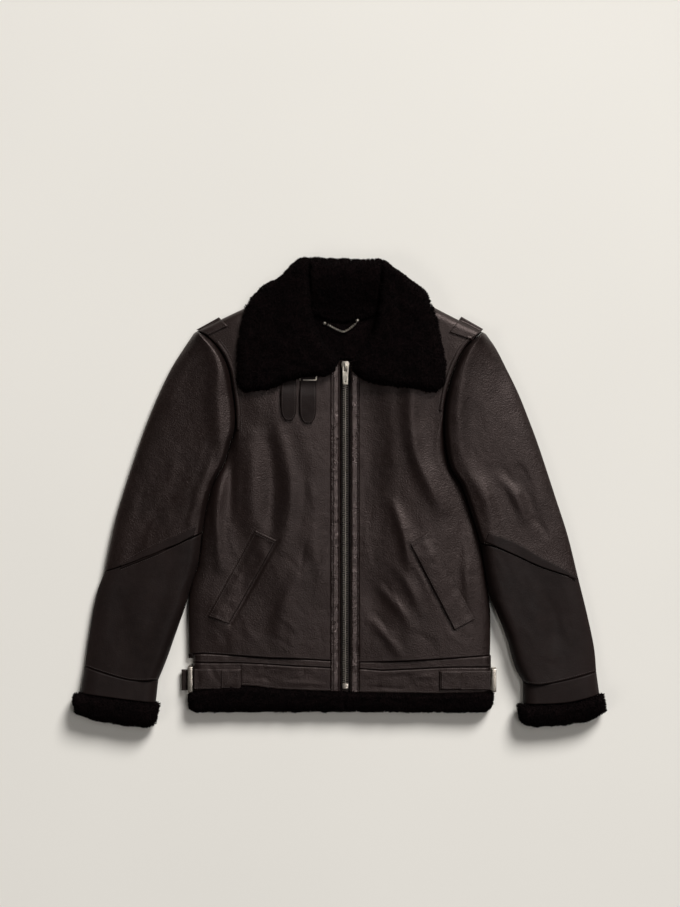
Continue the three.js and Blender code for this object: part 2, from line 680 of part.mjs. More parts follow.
function makeCuff(side) {
  const s = SLEEVE[side];
  const seam = s.cuffSeam.map(([x, y]) => [x, y - 2 * SEAM]);
  const band = patch(curve([s.cuffEnd[0], seam[0]]), curve([s.cuffEnd.at(-1), seam.at(-1)]),
    curve(s.cuffEnd), curve(seam));
  sew(`cuff_band_${side}`, SUEDED, {
    plan: band, cells: [4, 1], rim: 0, plain: 'low', low: flat(SLEEVE_MID), high: flat(CUFF_TOP),
    edges: { inner: 20, outer: 26, low: CUT_EDGE, top: CUT_EDGE },
  });
  sew(`cuff_band_under_${side}`, SUEDED, {
    plan: band, cells: [2, 1], rim: 1, plain: 'high', low: flat(0), high: flat(SLEEVE_SKIN),
    edges: { inner: 14, outer: 18, low: CUT_EDGE, top: CUT_EDGE },
  });
  const fur = patch(curve([s.furEnd[0], s.furTop[0]]), curve([s.furEnd.at(-1), s.furTop.at(-1)]),
    curve(s.furEnd), curve(s.furTop));
  const edges = { inner: FUR_EDGE, outer: FUR_EDGE, low: FUR_EDGE, top: 10 };
  sew(`cuff_fur_${side}`, FUR, {
    plan: fur, edges, cells: [5, 1], rim: 0, plain: 'low',
    low: flat(CUFF_FUR_MID), high: flat(CUFF_FUR_TOP),
  });
  sew(`cuff_fur_under_${side}`, FUR, {
    plan: fur, edges, cells: [4, 1], rim: 1, plain: 'high',
    low: flat(0), high: flat(CUFF_FUR_MID - SEAM),
  });
  layOn(`elbow_tape_${side}`, TAPE, {
    plan: patch(curve(s.elbowTape.low), curve(s.elbowTape.high),
      curve([s.elbowTape.low[0], s.elbowTape.high[0]]),
      curve([s.elbowTape.low.at(-1), s.elbowTape.high.at(-1)])),
    cells: [2, 11], thick: 2.4, fall: SLEEVE_MID + 8,
    on: [`sleeve_top_${side}`, `sleeve_forearm_${side}`],
  });
}

// Front edge and zip
function makePlacket(side) {
  const x0 = side === 'left' ? FRONT_EDGE_X.left + SEAM : FRONT_EDGE_X.right - SEAM;
  const x1 = side === 'left' ? x0 + PLACKET.width : x0 - PLACKET.width + 1.2;
  sew(`placket_${side}`, LEATHER, {
    plan: rectangle(x0, x1, levelAt(FUR_TOP, x0) + SEAM, ZIP_TOP),
    cells: [1, 6], rim: 0, plain: 'low', low: flat(BODY_MID), high: flat(PLACKET.high),
    edges: { inner: PLACKET.edge, outer: PLACKET.edge, low: STRIP_EDGE, top: STRIP_EDGE },
  });
}

function block(x, y0, y1, width, z0, z1) {
  return new THREE.BoxGeometry(width, y1 - y0, z1 - z0)
    .translate(x, (y0 + y1) / 2, (z0 + z1) / 2);
}

function lugGeometry() {
  const [half, eye] = [LUG.length / 2, LUG.eye / 2];
  const shape = new THREE.Shape();
  shape.moveTo(-half, -0.4).lineTo(half, -0.4).lineTo(half, LUG.high - 2);
  shape.absarc(half - 2, LUG.high - 2, 2, 0, Math.PI / 2, false);
  shape.absarc(-half + 2, LUG.high - 2, 2, Math.PI / 2, Math.PI, false);
  shape.closePath();
  const opening = new THREE.Path();
  opening.moveTo(-eye, 0.4).lineTo(-eye, 0.4 + LUG.eyeHigh).lineTo(eye, 0.4 + LUG.eyeHigh)
    .lineTo(eye, 0.4).closePath();
  shape.holes.push(opening);
  const options = { depth: LUG.width, bevelEnabled: false, curveSegments: 4 };
  return new THREE.ExtrudeGeometry(shape, options).rotateX(Math.PI / 2).rotateZ(Math.PI / 2)
    .translate(ZIP_X - LUG.width / 2, 0, 0);
}

const HINGE = { y: SLIDER.top - 7.5, z: SLIDER.high + 0.4 + LUG.eyeHigh / 2 };

function makeZip() {
  place('zip_tape', block(ZIP_X, ZIP_BOTTOM, ZIP_TOP, ZIP_TAPE_WIDTH, BODY_MID + SEAM, 16.7), TAPE);
  place('zip_teeth', block(ZIP_X, -301.5, SLIDER.top - SLIDER.length - SEAM, TEETH_WIDTH,
    TEETH.low, TEETH.high), METAL);
  place('zip_bottom_stop', block(ZIP_X, -310.5, -301.8, 9.6, TEETH.low, TEETH.high + 0.6), METAL);
  const body = new THREE.Shape();
  const [half, length] = [SLIDER.width / 2, SLIDER.length];
  body.moveTo(-half + 2.4, -length).lineTo(half - 2.4, -length).lineTo(half, -length * 0.35)
    .lineTo(half - 1, 0).lineTo(-half + 1, 0).lineTo(-half, -length * 0.35).closePath();
  const options = { depth: SLIDER.high - SLIDER.low, bevelEnabled: false };
  const slider = new THREE.ExtrudeGeometry(body, options).translate(ZIP_X, SLIDER.top, SLIDER.low);
  const lug = lugGeometry().translate(0, HINGE.y, SLIDER.high);
  place('zip_slider', join([slider, lug]), METAL);
  place('zip_pull_tab', tabGeometry(), METAL);
}

// The pull tab hangs from a bar that turns in the slider's eye, and lies down towards the hem.
function tabGeometry() {
  const { width, length, slot, slotWidth, hole, thick } = TAB;
  const [half, reach] = [width / 2, thick / 2];
  const shape = new THREE.Shape();
  shape.moveTo(-half + 2, reach).lineTo(-half, -3).lineTo(-half + 0.8, -length + 2);
  shape.absarc(-half + 2.8, -length + 2, 2, Math.PI, 1.5 * Math.PI, false);
  shape.absarc(half - 2.8, -length + 2, 2, 1.5 * Math.PI, 2 * Math.PI, false);
  shape.lineTo(half, -3).lineTo(half - 2, reach).closePath();
  const gap = new THREE.Path();
  gap.moveTo(-slotWidth / 2, -reach).lineTo(-slotWidth / 2, -reach - slot)
    .lineTo(slotWidth / 2, -reach - slot).lineTo(slotWidth / 2, -reach).closePath();
  const bore = new THREE.Path();
  bore.absarc(0, -length + 5, hole, 0, 2 * Math.PI, true);
  shape.holes.push(gap, bore);
  return new THREE.ExtrudeGeometry(shape, { depth: thick, bevelEnabled: false, curveSegments: 6 })
    .translate(ZIP_X, HINGE.y, HINGE.z - reach);
}

// Neck and collar
function makeNeck() {
  const left = [[-12, 218], [-26.5, 239], [-43.5, 268], [-57, 293]];
  const right = [[34, 218], [46.5, 239], [64.5, 268], [79, 294]];
  const top = topEdge(left[3][0], right[3][0], -SEAM);
  sew('neck_fleece', FUR, {
    plan: patch(curve([...left.slice(0, 3), top(0)]), curve([...right.slice(0, 3), top(1)]),
      curve([left[0], right[0]]), top),
    cells: [9, 4], rim: 0, plain: 'low', low: flat(BODY_MID), high: flat(BODY_TOP - 0.2),
    edges: { inner: 3, outer: 3, low: 3, top: 3 },
  });
}

function collarSeat(x, y) {
  const past = THREE.MathUtils.smoothstep(y - backTop(x), 1, 10);
  return THREE.MathUtils.lerp(COLLAR_SEAT, 1, past);
}

const FRONT_PARTS = {
  left: ['back', 'front_left', 'placket_left', 'neck_fleece', 'collar_strap_1',
    'collar_strap_2', 'collar_strap_buckle'],
  right: ['back', 'front_right', 'placket_right', 'neck_fleece'],
};

function makeFall(side) {
  const f = FALL[side];
  const spec = {
    plan: patch(curve(f.roll), curve(f.outer), curve(f.low), curve(f.top)),
    cells: [5, 8], rim: 0.3, low: collarSeat,
    high: (x, y, u) => THREE.MathUtils.lerp(ROLL_TOP, COLLAR_TOP, u),
    edges: { inner: 12, outer: 16, low: 14, top: 14 },
  };
  place(`collar_${side}`, cut(pieceGeometry(spec), grown(FRONT_PARTS[side])), FUR);
}

function makeBackCollar() {
  const { left, right, high, seat, crest } = BACK_COLLAR;
  const seam = topEdge(left, right, 1.2);
  const corner = [right + 4.5, high - 3];
  sew('collar_back', FUR, {
    plan: patch(curve([seam(0), [left, 328], [left - 2.6, high]]),
      curve([seam(1), [right + 2, 328], corner]), seam,
      curve([[left - 2.6, high], [8, high - 3], corner])),
    cells: [9, 5], rim: 0.3, low: flat(1),
    high: (x, y) => THREE.MathUtils.lerp(seat, crest, THREE.MathUtils.smoothstep(y, 276, 352)),
    edges: { inner: 3, outer: 3, low: 5, top: 16 },
  });
}

function makeCollarStraps() {
  for (const { name, left, right, end } of COLLAR_STRAPS) {
    const nose = (right - left) / 2;
    layOn(name, LEATHER, {
      plan: patch(
        curve([[left + nose / 2, end], [left, end + nose], [left, COLLAR_STRAP_TOP]]),
        curve([[right - nose / 2, end], [right, end + nose], [right, COLLAR_STRAP_TOP]]),
        curve([[left + nose / 2, end], [right - nose / 2, end]]),
        curve([[left, COLLAR_STRAP_TOP], [right, COLLAR_STRAP_TOP]])),
      cells: [3, 8], thick: STRAP_THICK, on: ['front_left'],
    });
  }
  const { left, right } = COLLAR_STRAPS[1];
  const frame = new THREE.Shape();
  frame.moveTo(left - 2, 182.5).lineTo(right + 2.4, 182.5).lineTo(right + 2.4, 199)
    .lineTo(left - 2, 199).closePath();
  const inside = new THREE.Path();
  inside.moveTo(left + 1, 185).lineTo(left + 1, 196.5).lineTo(right - 0.6, 196.5)
    .lineTo(right - 0.6, 185).closePath();
  frame.holes.push(inside);
  const rest = BODY_TOP + 2 * SEAM + STRAP_THICK + 0.4;
  place('collar_strap_buckle', new THREE.ExtrudeGeometry(frame, { depth: 2.2, bevelEnabled: false })
    .translate(0, 0, rest), METAL);
}

// Chain for hanging the jacket, on the neck seam
const CHAIN = [[-16, 272], [-3, 265], [9, 261], [19, 266], [27, 273]];
const CHAIN_STUDS = [
  { name: 'hanger_stud_left', x: -21.5, y: 274.5 },
  { name: 'hanger_stud_right', x: 31, y: 279 },
];
const CHAIN_THICK = 3.2;

function makeHanger() {
  const seats = [geometries.neck_fleece, geometries.collar_back];
  const height = (x, y) => Math.max(BODY_TOP, surfaceOver(seats, x, y) ?? 0);
  const rest = (x, y) => height(x, y) + CHAIN_THICK / 2 + 2 * SEAM;
  const path = new THREE.CatmullRomCurve3(
    CHAIN.map(([x, y]) => new THREE.Vector3(x, y, rest(x, y))));
  const section = new THREE.Shape();
  section.absarc(0, 0, CHAIN_THICK / 2, 0, 2 * Math.PI, false);
  place('hanger_chain', new THREE.ExtrudeGeometry(section,
    { extrudePath: path, steps: 10, curveSegments: 4, bevelEnabled: false }), METAL);
  for (const { name, x, y } of CHAIN_STUDS) {
    place(name, new THREE.CylinderGeometry(2.6, 2.6, 2.4, 12).rotateX(Math.PI / 2)
      .translate(x, y, height(x, y + 2.6) + 1.2 + SEAM), METAL);
  }
}

// Pieces on the fronts
function makeFrontTrim(side) {
  layOn(`pocket_welt_${side}`, LEATHER, {
    plan: quad(POCKET[side]), cells: [8, 2], thick: WELT_THICK, on: [`front_${side}`],
  });
  const armhole = SIDE[side].filter(([, y]) => y > UNDERARM_Y - 5 && y < 252);
  layOn(`armhole_welt_${side}`, LEATHER, {
    plan: ribbon(moved(armhole, side === 'left' ? -6 : 6), 5),
    cells: [1, 10], thick: TAPE_THICK, on: [`front_${side}`],
  });
  layOn(`shoulder_tab_${side}`, LEATHER, {
    plan: quad(SHOULDER_TAB[side]), cells: [4, 2], thick: STRAP_THICK, fall: BODY_MID,
    on: [`front_${side}`, `sleeve_top_${side}`, `armhole_welt_${side}`],
  });
}

// Side adjusters: a strap on the waistband, its stitched patch and the metal frame at the side
function makeAdjuster(side) {
  const { x0, x1, low, high } = SIDE_STRAP[side];
  layOn(`side_strap_${side}`, LEATHER, {
    plan: rectangle(x0, x1, low, high), cells: [5, 2], thick: STRAP_THICK,
    on: [`waistband_${side}`, `hem_fur_${side}`],
  });
  const [p0, p1] = STRAP_PATCH[side];
  layOn(`strap_patch_${side}`, LEATHER, {
    plan: rectangle(p0, p1, low + 1.5, high - 1.5), cells: [1, 1], thick: 1.4,
    on: [`side_strap_${side}`],
  });
  place(`side_buckle_${side}`, buckleGeometry(BUCKLE[side]), METAL);
}

function buckleGeometry({ x, low, high }) {
  const { across, tall, wire, foot } = BUCKLE_FRAME;
  const frame = new THREE.Shape();
  frame.moveTo(low, 0).lineTo(high, 0).lineTo(high, tall).lineTo(low, tall).closePath();
  const inside = new THREE.Path();
  inside.moveTo(low + wire, wire).lineTo(low + wire, tall - wire)
    .lineTo(high - wire, tall - wire).lineTo(high - wire, wire).closePath();
  frame.holes.push(inside);
  return new THREE.ExtrudeGeometry(frame, { depth: across, bevelEnabled: false })
    .rotateX(Math.PI / 2).rotateZ(Math.PI / 2)
    .translate(x - across / 2, 0, foot);
}

function makeSideTab() {
  const { x, low, high } = BUCKLE.left;
  const middle = x - BUCKLE_FRAME.across / 2 - SEAM - SIDE_TAB.width / 2;
  place('side_tab_left', block(middle, low + SIDE_TAB.in, high - 2 * SIDE_TAB.in,
    SIDE_TAB.width, SIDE_TAB.low, SIDE_TAB.high), LEATHER);
}

makeBack();
['left', 'right'].forEach((side) => {
  makeFront(side);
  makeWaist(side);
  makePlacket(side);
  makeSleeve(side);
  makeCuff(side);
});
makeWaistBack();
makeHemFur();
makeZip();
makeNeck();
makeCollarStraps();
makeFall('left');
makeFall('right');
makeBackCollar();
makeHanger();
['left', 'right'].forEach((side) => {
  makeFrontTrim(side);
  makeAdjuster(side);
});
makeSideTab();

// The origin is under the middle of the jacket.
const box = new THREE.Box3().setFromObject(jacket);
const middle = box.getCenter(new THREE.Vector3());
jacket.position.set(-middle.x, -middle.y, -box.min.z);

export default jacket;
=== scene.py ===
"""Shearling jacket with a fur collar, laid flat on its back with the zip closed.

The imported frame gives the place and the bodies. This script sews the finished surfaces round it:
leather, pelt and pile, tape, stitches, zip and hardware, and sets up the pale table and its lights.
The pattern below is in millimetres, with +X to the right and +Y towards the collar. Left and right
are those of someone who looks down on the jacket.
"""

import math

import bmesh
import bpy
import numpy as np
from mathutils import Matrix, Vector
from mathutils.bvhtree import BVHTree


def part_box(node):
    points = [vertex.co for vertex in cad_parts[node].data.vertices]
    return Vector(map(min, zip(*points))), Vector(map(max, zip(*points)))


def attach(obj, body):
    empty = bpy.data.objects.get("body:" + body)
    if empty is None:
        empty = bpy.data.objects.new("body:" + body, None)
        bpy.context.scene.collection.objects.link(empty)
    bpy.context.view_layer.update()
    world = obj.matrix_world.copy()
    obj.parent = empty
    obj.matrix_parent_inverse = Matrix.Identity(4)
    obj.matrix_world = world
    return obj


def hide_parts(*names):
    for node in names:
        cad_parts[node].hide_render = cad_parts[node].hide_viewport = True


bl_info = {
    "name": "Shearling Jacket",
    "version": (1, 0, 0),
    "blender": (4, 5, 0),
    "location": "View3D > Sidebar > Jacket",
    "description": "Sews the leather, fur, zip and hardware of a shearling jacket laid flat",
    "category": "Object",
}

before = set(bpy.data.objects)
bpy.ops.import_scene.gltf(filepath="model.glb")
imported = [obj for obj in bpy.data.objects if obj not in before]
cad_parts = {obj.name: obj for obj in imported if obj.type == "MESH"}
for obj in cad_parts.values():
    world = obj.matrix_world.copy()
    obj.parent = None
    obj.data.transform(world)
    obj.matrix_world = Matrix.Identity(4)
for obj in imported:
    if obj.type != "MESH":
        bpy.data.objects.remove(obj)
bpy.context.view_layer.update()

MM = 0.001
SIDES = ("left", "right")
SIGN = {"left": -1, "right": 1}

# Gaps between sewn pieces
SEAM = 0.3
SIDE_SEAM = 0.3

# Layers of the jacket, from the surface up
SKIN = 9.7
BODY_MID = 10.0
BODY_TOP = 22.0
SLEEVE_SKIN = 13.7
SLEEVE_MID = 14.0
SLEEVE_TOP = 37.0
CUFF_TOP = 33.0
HEM_FUR_TOP = 32.0
CUFF_FUR_MID = 18.0
CUFF_FUR_TOP = 41.5
COLLAR_SEAT = 22.2
COLLAR_TOP = 42.5
ROLL_TOP = 48.5
PLACKET_TOP = 23.5
BAND_TOP = 22.5
TAPE_TOP = 21.8

# Rounding of an edge seen in section
CUT_EDGE = 0.8
FOLD_EDGE = 20.0
SHOULDER_EDGE = 14.0
FUR_EDGE = 15.0
STRIP_EDGE = 1.2

# Zip
ZIP_X = 11.8
ZIP_TOP = 214.5
TEETH = {"low": -301.5, "high": 199.7, "reach": 4.3, "z": 18.5, "tall": 3.0}
STOP = {"low": -310.5, "high": -301.8, "width": 9.6, "z0": 17.0, "z1": 20.6}
SLIDER = {"width": 13.4, "length": 14.0, "low": 17.0, "high": 22.0, "top": 214.0}
LUG = {"width": 2.6, "length": 8.4, "eye": 4.8, "eye_high": 3.8, "high": 6.0}
TAB = {"width": 10.4, "length": 30.0, "thick": 2.2, "slot": 8.0, "slot_width": 4.4, "hole": 1.2}
PLACKET = {"left": (-10.7, 4.7), "right": (32.7, 18.5)}

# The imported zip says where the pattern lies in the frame.
zip_low, zip_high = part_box("zip_tape")
SHIFT = np.array([(zip_low.x + zip_high.x) / 2 / MM - ZIP_X, zip_high.y / MM - ZIP_TOP])

# Pattern lines, as [x, y] in the order in which they run
SIDE = {
    "left": [
        (-240, -256), (-240, -173), (-237, -152), (-224, -110), (-218, -61), (-208, -8),
        (-198, 22), (-182, 51), (-173, 80), (-166, 104), (-165, 133), (-169, 166), (-175, 200),
        (-184, 222), (-198, 242), (-214, 256), (-227, 262),
    ],
    "right": [
        (244, -257), (244, -184), (238, -136), (228, -77), (214, -32), (197, 16), (179, 46),
        (171, 88), (170, 133), (177, 173), (188, 206), (203, 234), (216, 248), (232, 261),
    ],
}
ELBOW_ON_SIDE = {"left": 4, "right": 3}
UNDERARM_Y = 100
SHOULDERS = [(-240, 256), (-227, 262), (-157, 296), (-85, 326), (107, 326), (163, 296), (232, 261)]
BACK_NECK = {"x": 11, "half": 96, "low": 275, "rise": 51}
FRONT_HEM = [
    (-240, -255), (-213, -254), (-149, -258), (-109, -261), (-69, -262), (-10, -266), (33, -268),
    (86, -267), (145, -264), (221, -259), (245, -257),
]
WAIST_TOP = [
    (-240, -267), (-213, -269), (-155, -269), (-114, -271), (-70, -274), (-8, -277), (33, -278),
    (70, -281), (139, -278), (180, -276), (245, -276),
]
FUR_TOP = [
    (-240, -320), (-213, -312), (-192, -309), (-170, -305), (-131, -307), (-96, -312),
    (-21, -315), (29, -317), (160, -319), (248, -317),
]
HEM_Y = -346.5
BACK_HEM_Y = -262
WAIST_END = {"left": -232.5, "right": 245.5}
NECKLINE = {
    "left": [(-11, 214), (-28, 239), (-45, 268), (-62, 300), (-85, 326)],
    "right": [(33, 214), (48, 239), (66, 268), (84, 300), (107, 326)],
}
FRONT_EDGE_X = {"left": -11, "right": 33}
FRONT_SIDE_X = {"left": -240, "right": 244}
FUR_CORNER = {"left": (-240.5, -229), "right": (248, 236)}

FALL = {
    "left": {
        "roll": [(2, 213), (-13, 232), (-32, 256), (-42, 283), (-43, 328), (-46, 380)],
        "outer": [
            (-147, 165), (-158, 174), (-160, 206), (-157, 251), (-152, 282), (-144, 304),
            (-136, 318), (-118, 334), (-94, 347), (-77, 365),
        ],
        "low": [
            (2, 213), (-8, 200), (-20, 192), (-38, 191), (-66, 187), (-90, 179), (-110, 171),
            (-147, 165),
        ],
        "top": [(-46, 380), (-61, 377), (-77, 365)],
    },
    "right": {
        "roll": [(21, 209), (38, 232), (56, 256), (64, 283), (66.5, 328), (69, 378)],
        "outer": [
            (158, 166), (168, 176), (171, 197), (171, 218), (163, 251), (160, 274), (150, 301),
            (141, 323), (128, 334), (112, 347), (99, 354),
        ],
        "low": [(21, 209), (29, 195), (43, 184), (74, 176), (118, 173), (141, 166), (158, 166)],
        "top": [(69, 378), (85, 365), (99, 354)],
    },
}
BACK_COLLAR = {"left": -42.4, "right": 63.5, "high": 380.0, "seat": 26, "crest": 46}
NECK = {
    "left": [(-12, 218), (-26.5, 239), (-43.5, 268)],
    "right": [(34, 218), (46.5, 239), (64.5, 268)],
    "top": (-57, 79),
}

SLEEVE = {
    "left": {
        "outer_low": [(-406, -275), (-398, -219), (-386, -155), (-374, -123)],
        "outer_high": [
            (-374, -123), (-371, -106), (-357, -40), (-346, -2), (-328, 54), (-310, 106),
            (-288, 160), (-266, 205), (-247, 235), (-231, 259),
        ],
        "inner_low": [(-288, -296), (-276, -267), (-259, -219), (-243, -173)],
        "elbow": [(-219, -61), (-274, -86), (-347, -114), (-374, -123)],
        "cuff_seam": [(-288, -296), (-330, -296), (-406, -275)],
        "cuff_end": [(-292, -332.6), (-413, -317.2)],
        "fur_top": [(-286, -334), (-413, -319), (-424, -321)],
        "fur_end": [(-292, -366), (-307, -370), (-347, -367), (-386, -360), (-420, -348)],
        "tape_high": [(-226, -50), (-264, -68), (-302, -86), (-347, -111)],
        "tape_low": [(-230, -64), (-274, -87), (-347, -117)],
    },
    "right": {
        "outer_low": [(414, -283), (411, -248), (400, -194), (385, -133)],
        "outer_high": [
            (385, -133), (368, -64), (350, -8), (338, 29), (320, 83), (307, 118), (289, 163),
            (270, 202), (253, 235), (237, 258),
        ],
        "inner_low": [(296, -299), (284, -277), (270, -229), (250, -179), (245, -168)],
        "elbow": [(229, -72), (250, -82), (284, -96), (323, -114), (358, -126), (385, -133)],
        "cuff_seam": [(296, -299), (318, -303), (363, -296), (414, -283)],
        "cuff_end": [(297, -334.8), (368, -331.4), (419, -319.2)],
        "fur_top": [(288, -336), (368, -332), (424, -318.6)],
        "fur_end": [(291, -361), (304, -368), (333, -369), (368, -366), (402, -360), (428, -346)],
        "tape_high": [(240, -60), (284, -77), (323, -99), (360, -118), (382, -132)],
        "tape_low": [(235, -74), (284, -96), (323, -114), (358, -126), (381, -135)],
    },
}

# Folds and creases: (from, to, bow, width, height). Ridges are above 0 and troughs below, and the
# width is where one has sunk to a third of its height.
FRONT_FOLDS = [
    ((-190, 44), (-190, -116), -5, 9, 4.2), ((-171, 112), (-172, -40), 0, 9, -4.0),
    ((-140, 92), (-142, -56), 4, 15, 4.0), ((-114, 100), (-112, -80), 8, 13, -4.2),
    ((-93, 98), (-88, -84), 15, 13, 4.4), ((-40, -40), (-26, -150), -3, 14, 2.6),
    ((-60, -120), (-100, -232), -6, 12, 2.2), ((118, 178), (166, -20), -20, 13, 6.2),
    ((88, -14), (114, -112), 4, 9, 4.8), ((96, -120), (132, -186), 3, 8, 2.6),
    ((66, -148), (116, -210), 3, 8, 2.4), ((50, -198), (100, -256), 3, 8, 2.2),
    ((206, -70), (214, -190), -4, 9, 3), ((-96.2, -73), (-172.2, -207), 0, 2.6, -2.2),
    ((113.2, -79), (184.2, -217), 0, 2.6, -2.2),
]
FRONT_SWELLS = [
    ((58, 190), (62, -70), -4, 28, -5.5), ((176, 60), (206, -120), 8, 20, -4),
    ((112, -60), (150, -170), 8, 34, 3.0), ((56, -120), (60, -220), 3, 22, -3),
    ((-70, -40), (-70, -220), 6, 44, 3.0), ((-46, 150), (-40, -60), -3, 34, 3.0),
    ((-150, -40), (-160, -200), 6, 26, -3.5), ((-120, 170), (-118, 110), 4, 30, 2),
    ((-206, -150), (-190, -230), 4, 22, 3),
]
FRONT_CREASES = [
    ((-172, -60), (-160, -100), -3, 5, 1.1), ((-206, -30), (-198, -84), 3, 5, -1.2),
    ((-60, 70), (-52, -30), 2, 7, -0.8), ((-46, 20), (-36, -60), 3, 6, 0.8),
    ((-46, -60), (-60, -140), -4, 4, -0.9), ((-28, -90), (-40, -170), 3, 4, 0.8),
    ((-84, -100), (-58, -128), 3, 4, -0.8), ((-70, -170), (-44, -196), -3, 3, -0.8),
    ((-90, -196), (-62, -226), 3, 4, 0.9), ((-34, -206), (-24, -250), 2, 3, -0.7),
    ((-110, -226), (-76, -246), 4, 4, -0.8), ((-152, -196), (-128, -236), -4, 6, 1.1),
    ((-206, -206), (-176, -244), 5, 6, -1.0), ((84, 110), (92, 40), -3, 8, 0.9),
    ((74, 20), (84, -46), -3, 7, 0.8), ((98, -40), (118, -110), 3, 4, -0.9),
    ((106, -104), (138, -160), 3, 3, -0.8), ((72, -138), (96, -186), 3, 3, -1.0),
    ((84, -150), (112, -196), -3, 3, 0.9), ((56, -186), (84, -228), 3, 3, -0.9),
    ((64, -206), (104, -240), -3, 3, -0.8), ((160, 110), (168, 40), -3, 6, 1.0),
    ((196, -40), (210, -110), 3, 5, -1.2), ((172, -214), (206, -240), -4, 6, 1.1),
    ((120, -222), (156, -244), 4, 5, -0.8), ((44, -30), (52, -110), -3, 5, 0.8),
]
SLEEVE_FOLDS = [
    ((-186, 236), (-184, 60), -8, 15, 4.5), ((-200, 60), (-232, -40), 3, 12, 3),
    ((-250, 40), (-300, -50), 6, 16, -2.5), ((-262, -130), (-330, -250), 4, 16, -2.5),
    ((204, 226), (196, 60), -8, 15, 4.5), ((214, 40), (250, -40), 3, 12, 3),
    ((256, 30), (300, -34), 4, 9, 3), ((290, 40), (330, -60), -4, 10, -2.5),
    ((340, -150), (350, -260), 0, 18, -3),
]
SLEEVE_CREASES = [
    ((-196, 60), (-214, 4), 3, 5, -1.5), ((-204, 96), (-226, 40), -4, 6, 1.3),
    ((-232, 6), (-250, -52), 4, 5, -1.4), ((-258, 76), (-276, 20), 3, 8, 1.2),
    ((-282, -30), (-306, -76), -3, 5, 1.2), ((-310, 10), (-330, -50), 4, 7, -1.3),
    ((-240, -96), (-262, -150), 4, 6, -1.3), ((-268, -110), (-310, -130), 4, 5, 1.1),
    ((-300, -140), (-336, -190), -5, 7, 1.4), ((-262, -190), (-290, -238), 4, 6, -1.2),
    ((-330, -150), (-362, -176), 4, 6, -1.2), ((-300, -240), (-340, -272), 5, 6, 1.2),
    ((-344, -216), (-372, -262), -4, 8, 1.3), ((-230, -120), (-246, -160), 2, 4, 1.1),
    ((262, 44), (282, 6), 3, 4, -1.3), ((274, 24), (304, -8), -3, 4, 1.3),
    ((284, 52), (312, 10), 3, 5, -1.3), ((238, 20), (262, -34), 3, 5, -1.4),
    ((222, 90), (236, 20), -4, 7, 1.3), ((300, -30), (336, -66), 4, 5, -1.3),
    ((256, -90), (280, -150), 4, 6, -1.3), ((300, -116), (330, -176), -4, 7, 1.4),
    ((330, -160), (352, -220), 4, 8, -1.4), ((290, -200), (316, -256), 4, 6, 1.2),
    ((366, -180), (384, -250), -3, 7, -1.2), ((270, -180), (284, -230), 3, 5, 1.1),
    ((320, -262), (356, -282), 4, 5, -1.0), ((250, -120), (262, -170), 2, 4, 1.0),
]
FUR_FOLDS = [
    ((96, 349), (98, 262), 2, 7, -2.6), ((-96, 340), (-104, 240), 3, 12, -1.6),
    ((120, 240), (132, 184), 3, 14, 1.6), ((-70, 300), (-64, 216), -3, 12, 1.8),
    ((-128, 240), (-130, 186), 2, 10, 1.4), ((30, 330), (40, 290), 2, 12, -1.5),
]
BAND_SEAM_X = -155.7
BAND_FOLDS = [
    ((BAND_SEAM_X, -271), (BAND_SEAM_X, -306), 0, 1.3, -1.1),
    ((-146, -273), (-60, -277), 1, 3, 0.7),
    ((-90, -300), (-24, -303), 1, 4, 0.8), ((60, -286), (130, -284), 1, 4, 0.9),
    ((46, -306), (110, -310), -1, 3, -0.8), ((120, -292), (156, -292), 1, 4, 0.7),
    ((-134, -292), (-108, -296), 1, 4, -0.7), ((-206, -276), (-190, -300), 1, 4, -0.6),
]

POCKET = {
    "left": [(-132, -56), (-98, -72), (-174, -206), (-208, -194)],
    "right": [(144, -60), (115, -78), (186, -216), (219, -199)],
}
SHOULDER_TAB = {
    "left": [(-176, 270), (-191, 285), (-227, 265), (-208, 255)],
    "right": [(178, 260), (198, 286), (233, 266), (216, 247)],
}
COLLAR_STRAPS = {"collar_strap_1": (-90, -67.5, 119), "collar_strap_2": (-60, -36, 114.5)}
COLLAR_STRAP_TOP = 204
STRAP_BUCKLE = {"left": -62, "right": -33.6, "low": 182.5, "high": 199, "wire": 2.6, "z": 25.8}
SIDE_STRAP = {
    "left": {"x0": -231, "x1": -155, "low": -311, "high": -278},
    "right": {"x0": 162, "x1": 244.5, "low": -312, "high": -281},
}
STRAP_PATCH = {"left": (-187, -157.5), "right": (164.5, 197)}
BUCKLE = {
    "left": {"x": -236.5, "low": -317, "high": -274},
    "right": {"x": 249.6, "low": -315.5, "high": -277},
}
BUCKLE_FRAME = {"across": 7.4, "tall": 23, "wire": 2.6, "foot": 1.6}
SIDE_TAB = {"width": 10.8, "low": 4, "high": 12, "in": 3}
CHAIN = [(-16, 272), (-3, 265), (9, 261), (19, 266), (27, 273)]
CHAIN_STUDS = ("hanger_stud_left", "hanger_stud_right")
STRAP_THICK = 2.8
WELT_THICK = 3.2
TAPE_THICK = 1.8
ELBOW_TAPE_THICK = 2.4
PATCH_THICK = 1.4


# Sizes and colours that a user would change
def length(name, description, default):
    return bpy.props.FloatProperty(
        name=name, description=description, default=default * MM, min=0.0, subtype="DISTANCE",
        unit="LENGTH", precision=5,
    )


def colour(name, description, default):
    return bpy.props.FloatVectorProperty(
        name=name, description=description, default=default, min=0.0, max=1.0, size=3,
        subtype="COLOR",
    )


